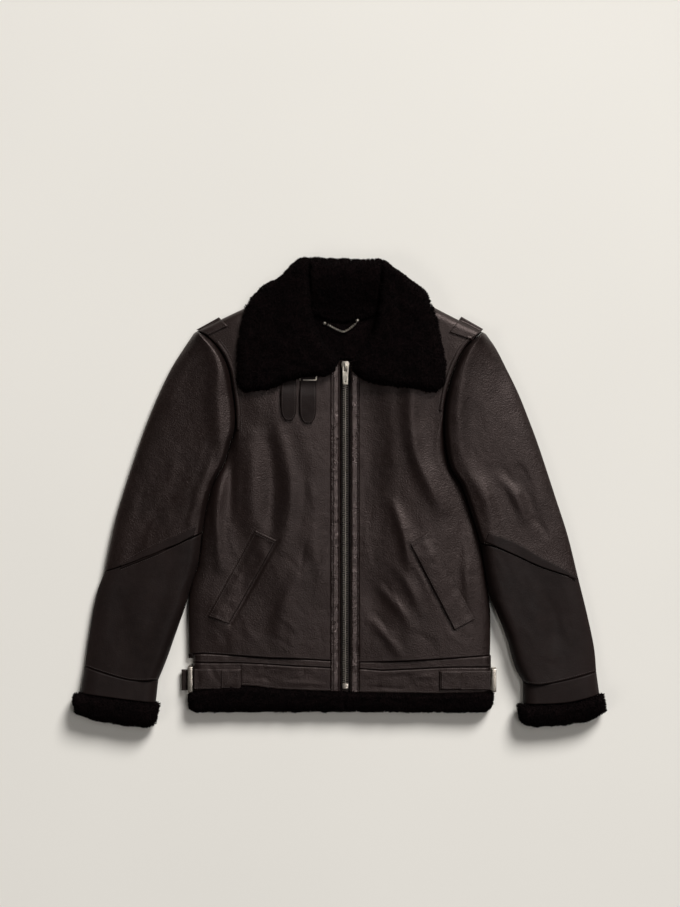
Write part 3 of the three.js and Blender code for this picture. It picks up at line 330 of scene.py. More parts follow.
class JacketSizes(bpy.types.PropertyGroup):
    """Sizes of what is sewn, grown or repeated on the jacket."""

    weave_step: length("Surface step", "Distance between the points of a leather surface", 2.3)
    stitch_pitch: length("Stitch pitch", "From one stitch to the next", 3.4)
    stitch_length: length("Stitch length", "Thread that shows of one stitch", 2.5)
    thread: length("Thread", "Thickness of the sewing thread", 0.95)
    tooth_pitch: length("Tooth pitch", "From one zip tooth to the next, on the other side", 1.45)
    link_pitch: length("Link pitch", "From one chain link to the next", 3.3)
    pile: length("Pile", "Length of a lock of the fur above the pelt", 3.4)
    lock_spacing: length("Lock spacing", "Distance between the locks of the fur", 2.0)


class JacketColours(bpy.types.PropertyGroup):
    """Colours of the materials."""

    leather: colour("Leather", "Waxed face of the body and upper sleeves", (0.0072, 0.0041, 0.0036))
    suede: colour("Sueded leather", "Matt face of the forearms", (0.0105, 0.0066, 0.0060))
    fur: colour("Fur", "Sheared wool of collar, cuffs and hem", (0.0027, 0.0013, 0.0014))
    tape: colour("Tape", "Seam and zip tape", (0.0068, 0.0040, 0.0037))
    thread: colour("Thread", "Sewing thread", (0.022, 0.014, 0.012))
    nickel: colour("Nickel", "Zip, chain and buckles", (0.50, 0.45, 0.39))
    pull: colour("Pull tab", "Warm brushed plate of the pull tab", (0.62, 0.57, 0.49))
    table: colour("Table", "Surface that the jacket lies on", (0.80, 0.78, 0.735))


# Lines and plans. A line is a function from shares 0 to 1 to points, at an even pace.
def paced(points):
    """A line of straight runs."""
    line = np.asarray(points, float)
    way = np.concatenate([[0], np.cumsum(np.linalg.norm(np.diff(line, axis=0), axis=1))])

    def at(share):
        place = np.asarray(share) * way[-1]
        return np.stack([np.interp(place, way, k) for k in line.T], axis=-1)

    return at


def curve(points, per_span=24):
    """A smooth line through some points."""
    p = np.asarray(points, float)
    p = np.vstack([2 * p[0] - p[1], p, 2 * p[-1] - p[-2]])
    t = np.linspace(0, 1, per_span, endpoint=False)[:, None]
    spans = []
    for a, b, c, d in zip(p, p[1:], p[2:], p[3:]):
        g0, g1, g2 = (math.sqrt(np.linalg.norm(k)) for k in (b - a, c - b, d - c))
        start = ((b - a) / g0 - (c - a) / (g0 + g1) + (c - b) / g1) * g1
        end = ((c - b) / g1 - (d - b) / (g1 + g2) + (d - c) / g2) * g1
        bend = 3 * (c - b) - 2 * start - end
        twist = 2 * (b - c) + start + end
        spans.append(b + start * t + bend * t**2 + twist * t**3)
    return paced(np.vstack([*spans, p[-2:-1]]))


def level_at(table, x):
    return np.interp(x, [p[0] for p in table], [p[1] for p in table])


def back_top(x):
    """Shoulder lines, with the neckline of the back between them."""
    across = (np.asarray(x, float) - BACK_NECK["x"]) / BACK_NECK["half"]
    neckline = BACK_NECK["low"] + BACK_NECK["rise"] * across**2
    return np.where(abs(across) < 1, neckline, level_at(SHOULDERS, x))


def line_of(height, x0, x1, dy=0.0):
    """A line from x0 to x1 whose y is height(x) + dy."""

    def at(share):
        x = x0 + (x1 - x0) * np.asarray(share, float)
        return np.stack([x, height(x) + dy + 0 * x], axis=-1)

    return at


def level(table, x0, x1, dy=0.0):
    return line_of(lambda x: level_at(table, x), x0, x1, dy)


def moved(points, distance):
    """The points of a line moved sideways, to the left of its direction."""
    p = np.asarray(points, float)
    way = np.gradient(p, axis=0)
    way /= np.linalg.norm(way, axis=1)[:, None]
    return p + distance * np.stack([-way[:, 1], way[:, 0]], axis=1)


def patch(inner, outer, low, top):
    """A plan between four lines: inner and outer run up, low and top run outwards."""
    a, b, c, d = inner(0), outer(0), inner(1), outer(1)

    def plan(u, v):
        u, v = np.broadcast_arrays(np.asarray(u, float), np.asarray(v, float))
        s, t = u[..., None], v[..., None]
        sides = (1 - s) * inner(v) + s * outer(v) + (1 - t) * low(u) + t * top(u)
        corners = (1 - t) * ((1 - s) * a + s * b) + t * ((1 - s) * c + s * d)
        return sides - corners

    return plan


def quad(corners):
    a, b, c, d = corners
    return patch(curve([a, b]), curve([d, c]), curve([a, d]), curve([b, c]))


def rectangle(x0, x1, y0, y1):
    return quad([(x0, y0), (x0, y1), (x1, y1), (x1, y0)])


def strip_between(inner, outer):
    """A plan between two lists of points that run the same way."""
    return patch(
        curve(inner), curve(outer), curve([inner[0], outer[0]]), curve([inner[-1], outer[-1]])
    )


def ribbon(points, width):
    return strip_between(moved(points, width / 2), moved(points, -width / 2))


# Heights
def smoothstep(x, low, high):
    s = np.clip((np.asarray(x, float) - low) / (high - low), 0, 1)
    return s * s * (3 - 2 * s)


def fold_height(folds, x, y):
    height = np.zeros_like(x)
    for start, end, bow, width, tall in folds:
        dx, dy = end[0] - start[0], end[1] - start[1]
        long = math.hypot(dx, dy)
        along = ((x - start[0]) * dx + (y - start[1]) * dy) / long**2
        t = np.clip(along, 0, 1)
        side = ((y - start[1]) * dx - (x - start[0]) * dy) / long - bow * np.sin(math.pi * t)
        past = (along - t) * long
        fade = np.sin(math.pi * (0.12 + 0.76 * t))
        height += tall * fade * np.exp(-(side**2 + past**2) / width**2)
    return height


def rumple(x, y, size, seed):
    """Smooth noise between about -1 and 1, with bumps of about that size."""
    lattice = np.random.default_rng(seed).uniform(-1, 1, (97, 97))
    gx, gy = np.asarray(x) / size + 40, np.asarray(y) / size + 40
    i, j = np.floor(gx).astype(int), np.floor(gy).astype(int)
    s, t = smoothstep(gx - i, 0, 1), smoothstep(gy - j, 0, 1)
    i, j = i % 96, j % 96
    low = lattice[i, j] * (1 - s) + lattice[i + 1, j] * s
    high = lattice[i, j + 1] * (1 - s) + lattice[i + 1, j + 1] * s
    return low * (1 - t) + high * t


def hide_relief(x, y, seed):
    """Uneven body of a thick hide: long swells, and smaller ones on them."""
    return (
        1.4 * rumple(x, 0.4 * y, 38, seed) + 0.5 * rumple(x, 0.6 * y, 19, seed + 1)
        + 0.14 * rumple(x, 0.8 * y, 8.5, seed + 2)
    )


def wool_relief(x, y, seed):
    """Sheared wool parts into clumps."""
    clumps = 0.8 * rumple(x, y, 17, seed) + 0.55 * rumple(x, y, 8, seed + 1)
    return clumps + 0.35 * rumple(x, y, 4.5, seed + 2)


# Sewn pieces
SOFT = 4.0  # a wider rounding gets more points
ROUND_MARKS = np.array([0, 0.01, 0.05, 0.12, 0.22, 0.36, 0.54, 0.76, 1.0])
SHARP_MARKS = np.array([0, 0.08, 0.3, 0.62, 1.0])
surfaces = {}


def rise(distance, radius):
    s = np.minimum(1, distance / radius)
    return np.sqrt(np.maximum(0, 2 * s - s * s))


def stations(span, near, far, inside):
    """Shares of each row's length: close together in the roundings at both ends."""
    fit = np.minimum(1, 0.9 * span / (near + far))
    marks = [ROUND_MARKS if np.max(r) > SOFT else SHARP_MARKS for r in (near, far)]
    start = marks[0] * (near * fit / span)[:, None]
    end = 1 - (marks[1] * (far * fit / span)[:, None])[:, ::-1]
    t = np.linspace(0, 1, inside + 1)[1:-1]
    middle = start[:, -1:] + (end[:, :1] - start[:, -1:]) * t
    return np.concatenate([start, middle, end], axis=1), fit


FOLD_END = UNDERARM_Y - 50
SEAM_START = UNDERARM_Y + 30


def radius_at(radius, y):
    """The side of the body is folded below the underarm and sewn above it."""
    if np.isscalar(radius):
        return np.full_like(y, float(radius))
    share = smoothstep(y, FOLD_END, SEAM_START)
    return radius[0] + (radius[1] - radius[0]) * share


def pillow_grid(plan, edges, step):
    """Points of a piece in rows from low to top, and the share of its thickness at each."""
    inner, outer, low, top = edges
    ends = [np.linalg.norm(plan(u, 1.0) - plan(u, 0.0)) for u in (0.0, 1.0)]
    tall = np.array([sum(ends) / 2])
    radii = np.array([float(low)]), np.array([float(top)])
    vs, _ = stations(tall, *radii, max(2, round(tall[0] / step)))
    v = vs[0]
    wide = np.linalg.norm(plan(1.0, v) - plan(0.0, v), axis=-1)
    near = np.full_like(wide, float(inner))
    far = radius_at(outer, plan(1.0, v)[:, 1])
    us, fit = stations(wide, near, far, max(2, round(wide.max() / step)))
    row = v[:, None]
    flat = plan(us, row)
    across = rise(us * wide[:, None], (near * fit)[:, None])
    across = across * rise((1 - us) * wide[:, None], (far * fit)[:, None])
    along = rise(row * tall[0], low) * rise((1 - row) * tall[0], top)
    return flat, us, row + 0 * us, across * along


def strip_faces(row_a, columns_a, row_b, columns_b):
    faces, a, b = [], 0, 0
    while a < len(columns_a) - 1 or b < len(columns_b) - 1:
        next_a = columns_a[a + 1] if a < len(columns_a) - 1 else math.inf
        next_b = columns_b[b + 1] if b < len(columns_b) - 1 else math.inf
        if next_a <= next_b:
            faces.append((row_a[columns_a[a]], row_a[columns_a[a + 1]], row_b[columns_b[b]]))
            a += 1
        else:
            faces.append((row_a[columns_a[a]], row_b[columns_b[b + 1]], row_b[columns_b[b]]))
            b += 1
    return faces


def plain_faces(grid, keep):
    """The faces of a hidden side: its inner rows have only every keep-th column."""
    rows, columns = grid.shape
    every = list(range(columns))
    few = [i for i in every if i % keep == 0 or i == columns - 1]
    chosen = [every if j in (0, rows - 1) else few for j in range(rows)]
    return [
        face
        for j in range(rows - 1)
        for face in strip_faces(grid[j], chosen[j], grid[j + 1], chosen[j + 1])
    ]


def full_faces(grid):
    a, b, c, d = grid[:-1, :-1], grid[:-1, 1:], grid[1:, 1:], grid[1:, :-1]
    return np.stack([a, b, c, d], axis=-1).reshape(-1, 4).tolist()


def turns_left(flat):
    loop = outline_of(flat)
    after = np.roll(loop, -1, axis=0)
    return (loop[:, 0] * after[:, 1] - after[:, 0] * loop[:, 1]).sum() > 0


def pillow(name, plan, edges, low, high, rim=0.0, plain="low", step=2.3, keep=16, wavy=0.0):
    """A sewn piece: both faces run together at its outline, at the share rim of the thickness.

    low and high give the heights of its faces as functions of x and y. The plain face is hidden.
    wavy is how far wool pushes the outline out and in.
    """
    flat, us, vs, share = pillow_grid(plan, edges, step)
    rows, columns = share.shape
    if wavy:
        x, y = flat[..., 0], flat[..., 1]
        push = [rumple(x, y, 11, k) + 0.6 * rumple(x, y, 5, k + 1) for k in (201, 203)]
        flat = flat + wavy * np.stack(push, axis=-1)
    x, y = flat[..., 0], flat[..., 1]
    top, bottom = high(x, y, us) + 0 * x, low(x, y) + 0 * x
    meet = bottom + rim * (top - bottom)
    border = np.ones((rows, columns), bool)
    border[1:-1, 1:-1] = False
    share = np.where(border, 0, share)
    upper = np.stack([x, y, meet + (top - meet) * share], axis=-1).reshape(-1, 3)
    lower = np.stack([x, y, meet - (meet - bottom) * share], axis=-1).reshape(-1, 3)
    grid = np.arange(rows * columns).reshape(rows, columns)
    under = np.where(border, grid, grid + rows * columns)
    full, thin = full_faces(grid), plain_faces(under, keep)
    if plain == "high":
        full, thin = full_faces(under), plain_faces(grid, keep)
        full = [f[::-1] for f in full]
    else:
        thin = [f[::-1] for f in thin]
    faces = full + thin
    if not turns_left(flat):
        faces = [f[::-1] for f in faces]
    points = np.vstack([upper, lower])
    used = np.unique(np.concatenate([np.ravel(full), np.ravel(thin)]))
    number = np.full(len(points), -1)
    number[used] = np.arange(len(used))
    faces = [[int(number[i]) for i in f] for f in faces]
    points = points[used]
    edge = np.concatenate([1 - share.ravel()] * 2)[used]
    surfaces[name] = BVHTree.FromPolygons(points.tolist(), faces)
    piece = new_piece(name, points, faces)
    layer = piece.data.attributes.new("edge", "FLOAT", "POINT")
    layer.data.foreach_set("value", edge.astype(np.float32))
    note_cut(piece, flat, float((top - bottom).max()))
    return piece


def outline_of(flat):
    return np.vstack([flat[0], flat[1:, -1], flat[-1, -2::-1], flat[-2:0:-1, 0]])


def note_cut(piece, flat, thick):
    """A piece is cut as large as it shows from above, and turns down over half its thickness."""
    loop = outline_of(flat)
    after = np.roll(loop, -1, axis=0)
    round_it = float(np.linalg.norm(after - loop, axis=1).sum())
    area = abs(float((loop[:, 0] * after[:, 1] - after[:, 0] * loop[:, 1]).sum())) / 2
    width, long = (k + thick for k in cut_size(flat.reshape(-1, 2)))
    piece["cut"] = [width, long]
    piece["cut_area"] = min(area + round_it * thick / 2, width * long)


def cut_size(points):
    """Width and length of the smallest rectangle of cloth that a piece is cut from."""
    best = None
    for angle in np.radians(np.arange(0, 90, 2)):
        turn = np.array([[math.cos(angle), math.sin(angle)], [-math.sin(angle), math.cos(angle)]])
        size = np.ptp(points @ turn.T, axis=0)
        if best is None or size[0] * size[1] < best[0] * best[1]:
            best = sorted(float(k) for k in size)
    return best


def new_piece(name, points, faces, edges=()):
    """An object with its points, given in pattern millimetres, at their place in the frame."""
    places = np.asarray(points, float).copy()
    places[:, :2] += SHIFT
    mesh = bpy.data.meshes.new(name)
    mesh.from_pydata((places * MM).tolist(), list(edges), faces)
    mesh.update()
    if faces:
        mesh.polygons.foreach_set("use_smooth", [True] * len(mesh.polygons))
    piece = bpy.data.objects.new(name, mesh)
    bpy.context.scene.collection.objects.link(piece)
    return piece


def dress(piece, material, slot, *nodes, body="jacket"):
    """Gives a piece its material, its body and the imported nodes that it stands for."""
    piece.data.materials.clear()
    piece.data.materials.append(materials[material]())
    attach(piece, body)
    if nodes:
        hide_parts(*nodes)
    return piece


def ground(names, x, y, fall):
    """Highest of some surfaces over each point of an array, and never below fall."""
    heights = np.full(np.shape(x), float(fall))
    for place in np.ndindex(heights.shape):
        over = Vector((x[place], y[place], 100.0))
        hits = [surfaces[n].ray_cast(over, Vector((0, 0, -1)))[0] for n in names]
        found = [h.z for h in hits if h is not None]
        if found:
            heights[place] = max(fall, *found)
    return heights


def laid_strip(name, plan, thick, on, fall=BODY_MID, edge=STRIP_EDGE, step=2.3, relief=None,
               lift=None):
    """A strip, tab or welt sewn onto other pieces: it follows their surface, or lifts off it."""
    kept = {}

    def under(x, y):
        if "ground" not in kept:
            kept["ground"] = ground(on, x, y, fall) + (lift(x, y) if lift else 0.0)
        return kept["ground"] + 0.1

    def over(x, y, _):
        extra = relief(x, y) if relief else 0.0
        return under(x, y) + SEAM + thick + extra

    return pillow(name, plan, (edge,) * 4, under, over, rim=0.45, step=step, keep=6)


# Node trees
def add(tree, kind, inputs=(), **settings):
    """A node with its settings; inputs pairs sockets with a value or with a socket to link."""
    made = tree.nodes.new(kind)
    for key, value in settings.items():
        setattr(made, key, value)
    for key, value in dict(inputs).items():
        if isinstance(value, bpy.types.NodeSocket):
            tree.links.new(value, made.inputs[key])
        else:
            made.inputs[key].default_value = value
    return made


def math_node(tree, operation, a, b=0.0, c=0.0):
    return add(tree, "ShaderNodeMath", {0: a, 1: b, 2: c}, operation=operation).outputs[0]


def ramp(tree, value, low, high, to_low=0.0, to_high=1.0):
    """A value moved from one range to another and held inside it."""
    spread = {"Value": value, "From Min": low, "From Max": high, "To Min": to_low, "To Max": to_high}
    return add(tree, "ShaderNodeMapRange", spread).outputs["Result"]


def noise(tree, place, scale, detail, rough=0.5):
    """Cloudy noise around 0.5."""
    made = add(tree, "ShaderNodeTexNoise",
               {"Vector": place, "Scale": scale, "Detail": detail, "Roughness": rough})
    return made.outputs["Fac"]


def new_tree(name, kind, inputs, outputs):
    tree = bpy.data.node_groups.new(name, kind)
    for socket, (form, default) in inputs.items():
        made = tree.interface.new_socket(socket, in_out="INPUT", socket_type=form)
        if default is not None:
            made.default_value = default
    for socket, form in outputs.items():
        tree.interface.new_socket(socket, in_out="OUTPUT", socket_type=form)
    return tree, add(tree, "NodeGroupInput"), add(tree, "NodeGroupOutput")


FLOAT = "NodeSocketFloat"
VECTOR = "NodeSocketVector"


def shared(name):
    """A node group is made when it is first used, and then shared."""

    def wrap(build):
        def get():
            if name not in bpy.data.node_groups:
                build(name)
            return bpy.data.node_groups[name]

        return get

    return wrap


@shared("Hide grain")
def grain_group(name):
    """Shader group: pores of a hide, each cell domed between fine grooves."""
    tree, into, out = new_tree(
        name, "ShaderNodeTree",
        {"Vector": (VECTOR, None), "Cells per metre": (FLOAT, 800.0), "Unevenness": (FLOAT, 0.3)},
        {"Height": FLOAT},
    )
    warp = add(tree, "ShaderNodeTexNoise", {"Vector": into.outputs["Vector"], "Scale": 260.0,
                                            "Detail": 2.0})
    push = add(tree, "ShaderNodeVectorMath", {0: warp.outputs["Color"], 1: (0.5, 0.5, 0.5)},
               operation="SUBTRACT")
    size = math_node(tree, "MULTIPLY", into.outputs["Unevenness"], 0.006)
    push = add(tree, "ShaderNodeVectorMath", {0: push.outputs[0], "Scale": size},
               operation="SCALE")
    place = add(tree, "ShaderNodeVectorMath", {0: into.outputs["Vector"], 1: push.outputs[0]},
                operation="ADD")
    cells = add(tree, "ShaderNodeTexVoronoi",
                {"Vector": place.outputs[0], "Scale": into.outputs["Cells per metre"]},
                feature="DISTANCE_TO_EDGE")
    dome = ramp(tree, cells.outputs["Distance"], 0.0, 0.3)
    tree.links.new(math_node(tree, "POWER", dome, 0.6), out.inputs["Height"])


@shared("Milled creases")
def crease_group(name):
    """Shader group: fine creases of milled leather, deeper in some places than in others."""
    tree, into, out = new_tree(
        name, "ShaderNodeTree",
        {"Vector": (VECTOR, None), "Creases per metre": (FLOAT, 120.0), "Warp": (FLOAT, 1.0),
         "Spread": (FLOAT, 0.5)},
        {"Height": FLOAT},
    )
    lines = add(tree, "ShaderNodeTexNoise",
                {"Vector": into.outputs["Vector"], "Scale": into.outputs["Creases per metre"],
                 "Detail": 3.0, "Roughness": 0.55, "Distortion": into.outputs["Warp"]})
    bent = math_node(tree, "SUBTRACT", lines.outputs["Fac"], 0.5)
    sharp = ramp(tree, math_node(tree, "ABSOLUTE", bent), 0.0, 0.11)
    areas = noise(tree, into.outputs["Vector"], 9.0, 2.0)
    spared = math_node(tree, "SUBTRACT", 1.0, into.outputs["Spread"])
    low = math_node(tree, "MULTIPLY", spared, 0.8)
    mask = ramp(tree, areas, low, math_node(tree, "ADD", low, 0.22))
    inverse = math_node(tree, "SUBTRACT", 1.0, sharp)
    deep = math_node(tree, "MULTIPLY", inverse, mask)
    tree.links.new(math_node(tree, "SUBTRACT", 1.0, deep), out.inputs["Height"])


@shared("Rubbed edges")
def wear_group(name):
    """Shader group: mask of the rounded edges, from the piece's own edge attribute, broken up by
    noise. The leather is painted lighter there, partly as rubbing and partly as a painted highlight.
    """
    tree, into, out = new_tree(
        name, "ShaderNodeTree", {"Vector": (VECTOR, None), "Amount": (FLOAT, 0.5)}, {"Mask": FLOAT}
    )
    edge = add(tree, "ShaderNodeAttribute", attribute_name="edge")
    near = ramp(tree, edge.outputs["Fac"], 0.15, 0.8)
    patchy = ramp(tree, noise(tree, into.outputs["Vector"], 90.0, 4.0, 0.65), 0.42, 0.66)
    both = math_node(tree, "MULTIPLY", near, patchy)
    tree.links.new(math_node(tree, "MULTIPLY", both, into.outputs["Amount"]), out.inputs["Mask"])


def use(tree, group, **inputs):
    """A shader group with its own values. An underscore stands for a space in a socket's name."""
    named = {key.replace("_", " "): value for key, value in inputs.items()}
    return add(tree, "ShaderNodeGroup", named, node_tree=group)


def new_material(name):
    made = bpy.data.materials.new(name)
    made.use_nodes = True
    tree = made.node_tree
    shader = tree.nodes["Principled BSDF"]
    place = add(tree, "ShaderNodeTexCoord").outputs["Object"]
    return tree, shader, place


def constants(shader, values):
    """Sets sockets that are the same all over a surface."""
    for socket, value in values.items():
        shader.inputs[socket].default_value = value


def bumped(tree, shader, height, distance, strength=1.0):
    """Fine relief, by a height in shares of the distance."""
    bump = add(tree, "ShaderNodeBump",
               {"Height": height, "Distance": distance * MM, "Strength": strength})
    tree.links.new(bump.outputs["Normal"], shader.inputs["Normal"])


def mixed(tree, share, a, b):
    """A colour between two, by a share that changes over the surface."""
    made = add(tree, "ShaderNodeMix", {0: share, 6: (*a, 1.0) if isinstance(a, tuple) else a,
                                       7: (*b, 1.0) if isinstance(b, tuple) else b},
               data_type="RGBA")
    return made.outputs[2]


def shade(colour_value, factor):
    return tuple(min(1.0, k * factor) for k in colour_value)


def once(build):
    """A material is made when it is first worn, and then shared."""

    def get():
        if build.__name__ not in bpy.data.materials:
            build(bpy.context.scene.jacket_colours)
        return bpy.data.materials[build.__name__]

    return get


RUBBED_AND_LIT = (3.2, 2.7, 2.4)            # how much lighter an edge is painted, in each colour: partly rubbing, partly a painted highlight
PEBBLE = 11                         # height of the pebbles over that of the pores
WAX_TINT = (1.0, 0.81, 0.77, 1.0)


def leather_nodes(name, base, rough, pores, creases, creased, rub_and_highlight_amount):
    """A leather: pores, milled creases, edges painted lighter (partly rubbing, partly a painted
    highlight) and an uneven dye.

    pores and creases are (how many to a metre, height in mm); creased is the share of the hide
    that has creases.
    """
    tree, shader, place = new_material(name)
    pore = use(tree, grain_group(), Vector=place, Cells_per_metre=pores[0], Unevenness=0.5)
    fine = use(tree, crease_group(), Vector=place, Creases_per_metre=creases[0], Warp=0.9,
               Spread=creased)
    rub_and_highlight = use(tree, wear_group(), Vector=place, Amount=rub_and_highlight_amount)
    dye = noise(tree, place, 14.0, 5.0, 0.6)
    spots = noise(tree, place, 160.0, 3.0, 0.6)
    pebbles = noise(tree, place, 430.0, 2.0)
    tone = ramp(tree, dye, 0.3, 0.7)
    ground_tone = mixed(tree, tone, shade(base, 0.74), shade(base, 1.3))
    speckle = ramp(tree, spots, 0.55, 0.75, 0.0, 0.3)
    dyed = mixed(tree, speckle, ground_tone, shade(base, 1.9))
    # The rounded edges are painted lighter: partly rubbing, partly a painted highlight.
    rub_and_highlight_tone = tuple(k * more for k, more in zip(base, RUBBED_AND_LIT))
    with_rub_and_highlight = mixed(tree, rub_and_highlight.outputs["Mask"], dyed, rub_and_highlight_tone)
    tree.links.new(with_rub_and_highlight, shader.inputs["Base Color"])
    uneven = ramp(tree, spots, 0.3, 0.7, rough - 0.05, rough + 0.06)
    waxed = math_node(tree, "MULTIPLY_ADD", tone, -0.06, uneven)
    groove = ramp(tree, fine.outputs["Height"], 0.4, 1.0, 0.06, 0.0)
    tree.links.new(math_node(tree, "ADD", waxed, groove), shader.inputs["Roughness"])
    height = math_node(tree, "MULTIPLY", pore.outputs["Height"], pores[1])
    for relief, tall in ((fine.outputs["Height"], creases[1]), (spots, creases[1]),
                         (pebbles, pores[1] * PEBBLE)):
        height = math_node(tree, "MULTIPLY_ADD", relief, tall, height)
    bumped(tree, shader, height, 1.0)
    return shader


def waxed_leather(colours):
    shader = leather_nodes("waxed_leather", tuple(colours.leather), rough=0.44,
                           pores=(560.0, 0.05), creases=(90.0, 0.11), creased=0.5, rub_and_highlight_amount=0.4)
    constants(shader, {"Specular IOR Level": 0.42, "Specular Tint": WAX_TINT})


def polished_leather(colours):
    """The same hide where hands rub it, along the zip."""
    shader = leather_nodes("polished_leather", tuple(colours.leather), rough=0.3,
                           pores=(560.0, 0.05), creases=(110.0, 0.12), creased=0.6, rub_and_highlight_amount=0.6)
    constants(shader, {"Specular IOR Level": 0.85, "Specular Tint": WAX_TINT})


def matt_leather(colours):
    shader = leather_nodes("matt_leather", tuple(colours.suede), rough=0.6,
                           pores=(760.0, 0.03), creases=(80.0, 0.07), creased=0.4, rub_and_highlight_amount=0.3)
    constants(shader, {"Specular IOR Level": 0.12})


def sheared_wool(colours):
    """Dense wool: dark between the locks, a soft sheen on their ends."""
    tree, shader, place = new_material("sheared_wool")
    base = tuple(colours.fur)
    tufts = noise(tree, place, 520.0, 3.0, 0.7)
    waves = noise(tree, place, 70.0, 3.0)
    wool = mixed(tree, ramp(tree, waves, 0.3, 0.7), shade(base, 0.6), shade(base, 1.6))
    tips = ramp(tree, tufts, 0.5, 0.75, 0.0, 0.45)
    tree.links.new(mixed(tree, tips, wool, shade(base, 3.0)), shader.inputs["Base Color"])
    constants(shader, {"Roughness": 0.95, "Specular IOR Level": 0.06})
    bumped(tree, shader, math_node(tree, "MULTIPLY_ADD", tufts, 0.8, waves), 1.5, 0.8)


def two_tones(tree, shader, tone, base, dark, light):
    tree.links.new(mixed(tree, tone, shade(base, dark), shade(base, light)),
                   shader.inputs["Base Color"])


def woven_tape(colours):
    """Twill tape: fine diagonal ribs."""
    tree, shader, place = new_material("woven_tape")
    turned = add(tree, "ShaderNodeMapping", {"Vector": place, "Rotation": (0, 0, math.radians(45))})
    ribs = add(tree, "ShaderNodeTexWave", {"Vector": turned.outputs[0], "Scale": 260.0,
                                           "Distortion": 0.6, "Detail": 1.0}, wave_type="BANDS")
    tone = math_node(tree, "MULTIPLY", ribs.outputs["Fac"], noise(tree, place, 240.0, 4.0))
    two_tones(tree, shader, tone, tuple(colours.tape), 0.6, 2.2)
    constants(shader, {"Roughness": 0.82, "Specular IOR Level": 0.25})
    bumped(tree, shader, tone, 0.25)


def waxed_thread(colours):
    """Twisted thread with a little wax."""
    tree, shader, place = new_material("waxed_thread")
    tone = ramp(tree, noise(tree, place, 900.0, 2.0), 0.35, 0.65)
    two_tones(tree, shader, tone, tuple(colours.thread), 0.7, 1.6)
    constants(shader, {"Roughness": 0.5})
    bumped(tree, shader, tone, 0.1, 0.8)


def metal_nodes(name, base, rough):
    """A plated metal: fine scratches, and duller where it is touched."""
    tree, shader, place = new_material(name)
    brushed = add(tree, "ShaderNodeMapping", {"Vector": place, "Scale": (2400.0, 260.0, 900.0)})
    lines = noise(tree, brushed.outputs[0], 1.0, 3.0)
    tone = ramp(tree, noise(tree, place, 340.0, 4.0, 0.6), 0.35, 0.7)
    two_tones(tree, shader, tone, base, 1.05, 0.6)
    constants(shader, {"Metallic": 1.0})
    scratched = ramp(tree, lines, 0.3, 0.7, rough - 0.08, rough + 0.1)
    tree.links.new(math_node(tree, "MULTIPLY_ADD", tone, 0.12, scratched),
                   shader.inputs["Roughness"])
    bumped(tree, shader, lines, 0.04, 0.6)


def worn_nickel(colours):
    metal_nodes("worn_nickel", tuple(colours.nickel), 0.3)


def brushed_plate(colours):
    metal_nodes("brushed_plate", tuple(colours.pull), 0.34)


def pale_table(colours):
    """The plain surface under the jacket."""
    tree, shader, place = new_material("pale_table")
    tone = ramp(tree, noise(tree, place, 1.6, 2.0), 0.3, 0.7)
    two_tones(tree, shader, tone, tuple(colours.table), 0.985, 1.01)
    constants(shader, {"Roughness": 0.9, "Specular IOR Level": 0.2})


materials = {
    build.__name__: once(build)
    for build in (waxed_leather, polished_leather, matt_leather, sheared_wool, woven_tape,
                  waxed_thread, worn_nickel, brushed_plate, pale_table)
}


# Geometry nodes
def turned_by(tree, rotation, angles):
    """A rotation turned further about its own axes."""
    turn = add(tree, "FunctionNodeEulerToRotation", {0: angles})
    made = add(tree, "FunctionNodeRotateRotation",
               {"Rotation": rotation, "Rotate By": turn.outputs[0]}, rotation_space="LOCAL")
    return made.outputs[0]


def finish_tree(tree, into, out, instances):
    """Makes the instances real and gives them the material."""
    real = add(tree, "GeometryNodeRealizeInstances", {0: instances})
    painted = add(tree, "GeometryNodeSetMaterial", {"Geometry": real.outputs[0],
                                                    "Material": into.outputs["Material"]})
    tree.links.new(painted.outputs[0], out.inputs["Geometry"])


@shared("Row along a line")
def row_tree(name):
    """Sets a piece again and again along the host's edges, each turned against the last."""
    tree, into, out = new_tree(
        name, "GeometryNodeTree",
        {"Geometry": ("NodeSocketGeometry", None), "Piece": ("NodeSocketObject", None),
         "Pitch": (FLOAT, 0.003), "Turn": (FLOAT, 0.0), "Scatter": (FLOAT, 0.0),
         "Seed": ("NodeSocketInt", 1), "Material": ("NodeSocketMaterial", None)},
        {"Geometry": "NodeSocketGeometry"},
    )
    line = add(tree, "GeometryNodeMeshToCurve", {"Mesh": into.outputs["Geometry"]})
    even = add(tree, "GeometryNodeResampleCurve",
               {"Curve": line.outputs[0], "Length": into.outputs["Pitch"]}, mode="LENGTH")
    tangent = add(tree, "GeometryNodeInputTangent")
    along = add(tree, "FunctionNodeAlignRotationToVector", {"Vector": tangent.outputs[0]}, axis="X")
    upright = add(tree, "FunctionNodeAlignRotationToVector",
                  {"Rotation": along.outputs[0], "Vector": (0.0, 0.0, 1.0)}, axis="Z",
                  pivot_axis="X")
    index = add(tree, "GeometryNodeInputIndex")
    odd = math_node(tree, "MODULO", index.outputs[0], 2.0)
    turn = math_node(tree, "MULTIPLY", odd, into.outputs["Turn"])
    angle = add(tree, "ShaderNodeCombineXYZ", {"X": turn})
    turned = turned_by(tree, upright.outputs[0], angle.outputs[0])
    low = math_node(tree, "MULTIPLY", into.outputs["Scatter"], -1.0)
    tilt = add(tree, "FunctionNodeRandomValue",
               {2: low, 3: into.outputs["Scatter"], "Seed": into.outputs["Seed"]},
               data_type="FLOAT")
    lean = add(tree, "ShaderNodeCombineXYZ", {"Z": tilt.outputs[1]})
    piece = add(tree, "GeometryNodeObjectInfo", {"Object": into.outputs["Piece"]})
    set_out = add(tree, "GeometryNodeInstanceOnPoints",
                  {"Points": even.outputs[0], "Instance": piece.outputs["Geometry"],
                   "Rotation": turned_by(tree, turned, lean.outputs[0])})
    finish_tree(tree, into, out, set_out.outputs[0])


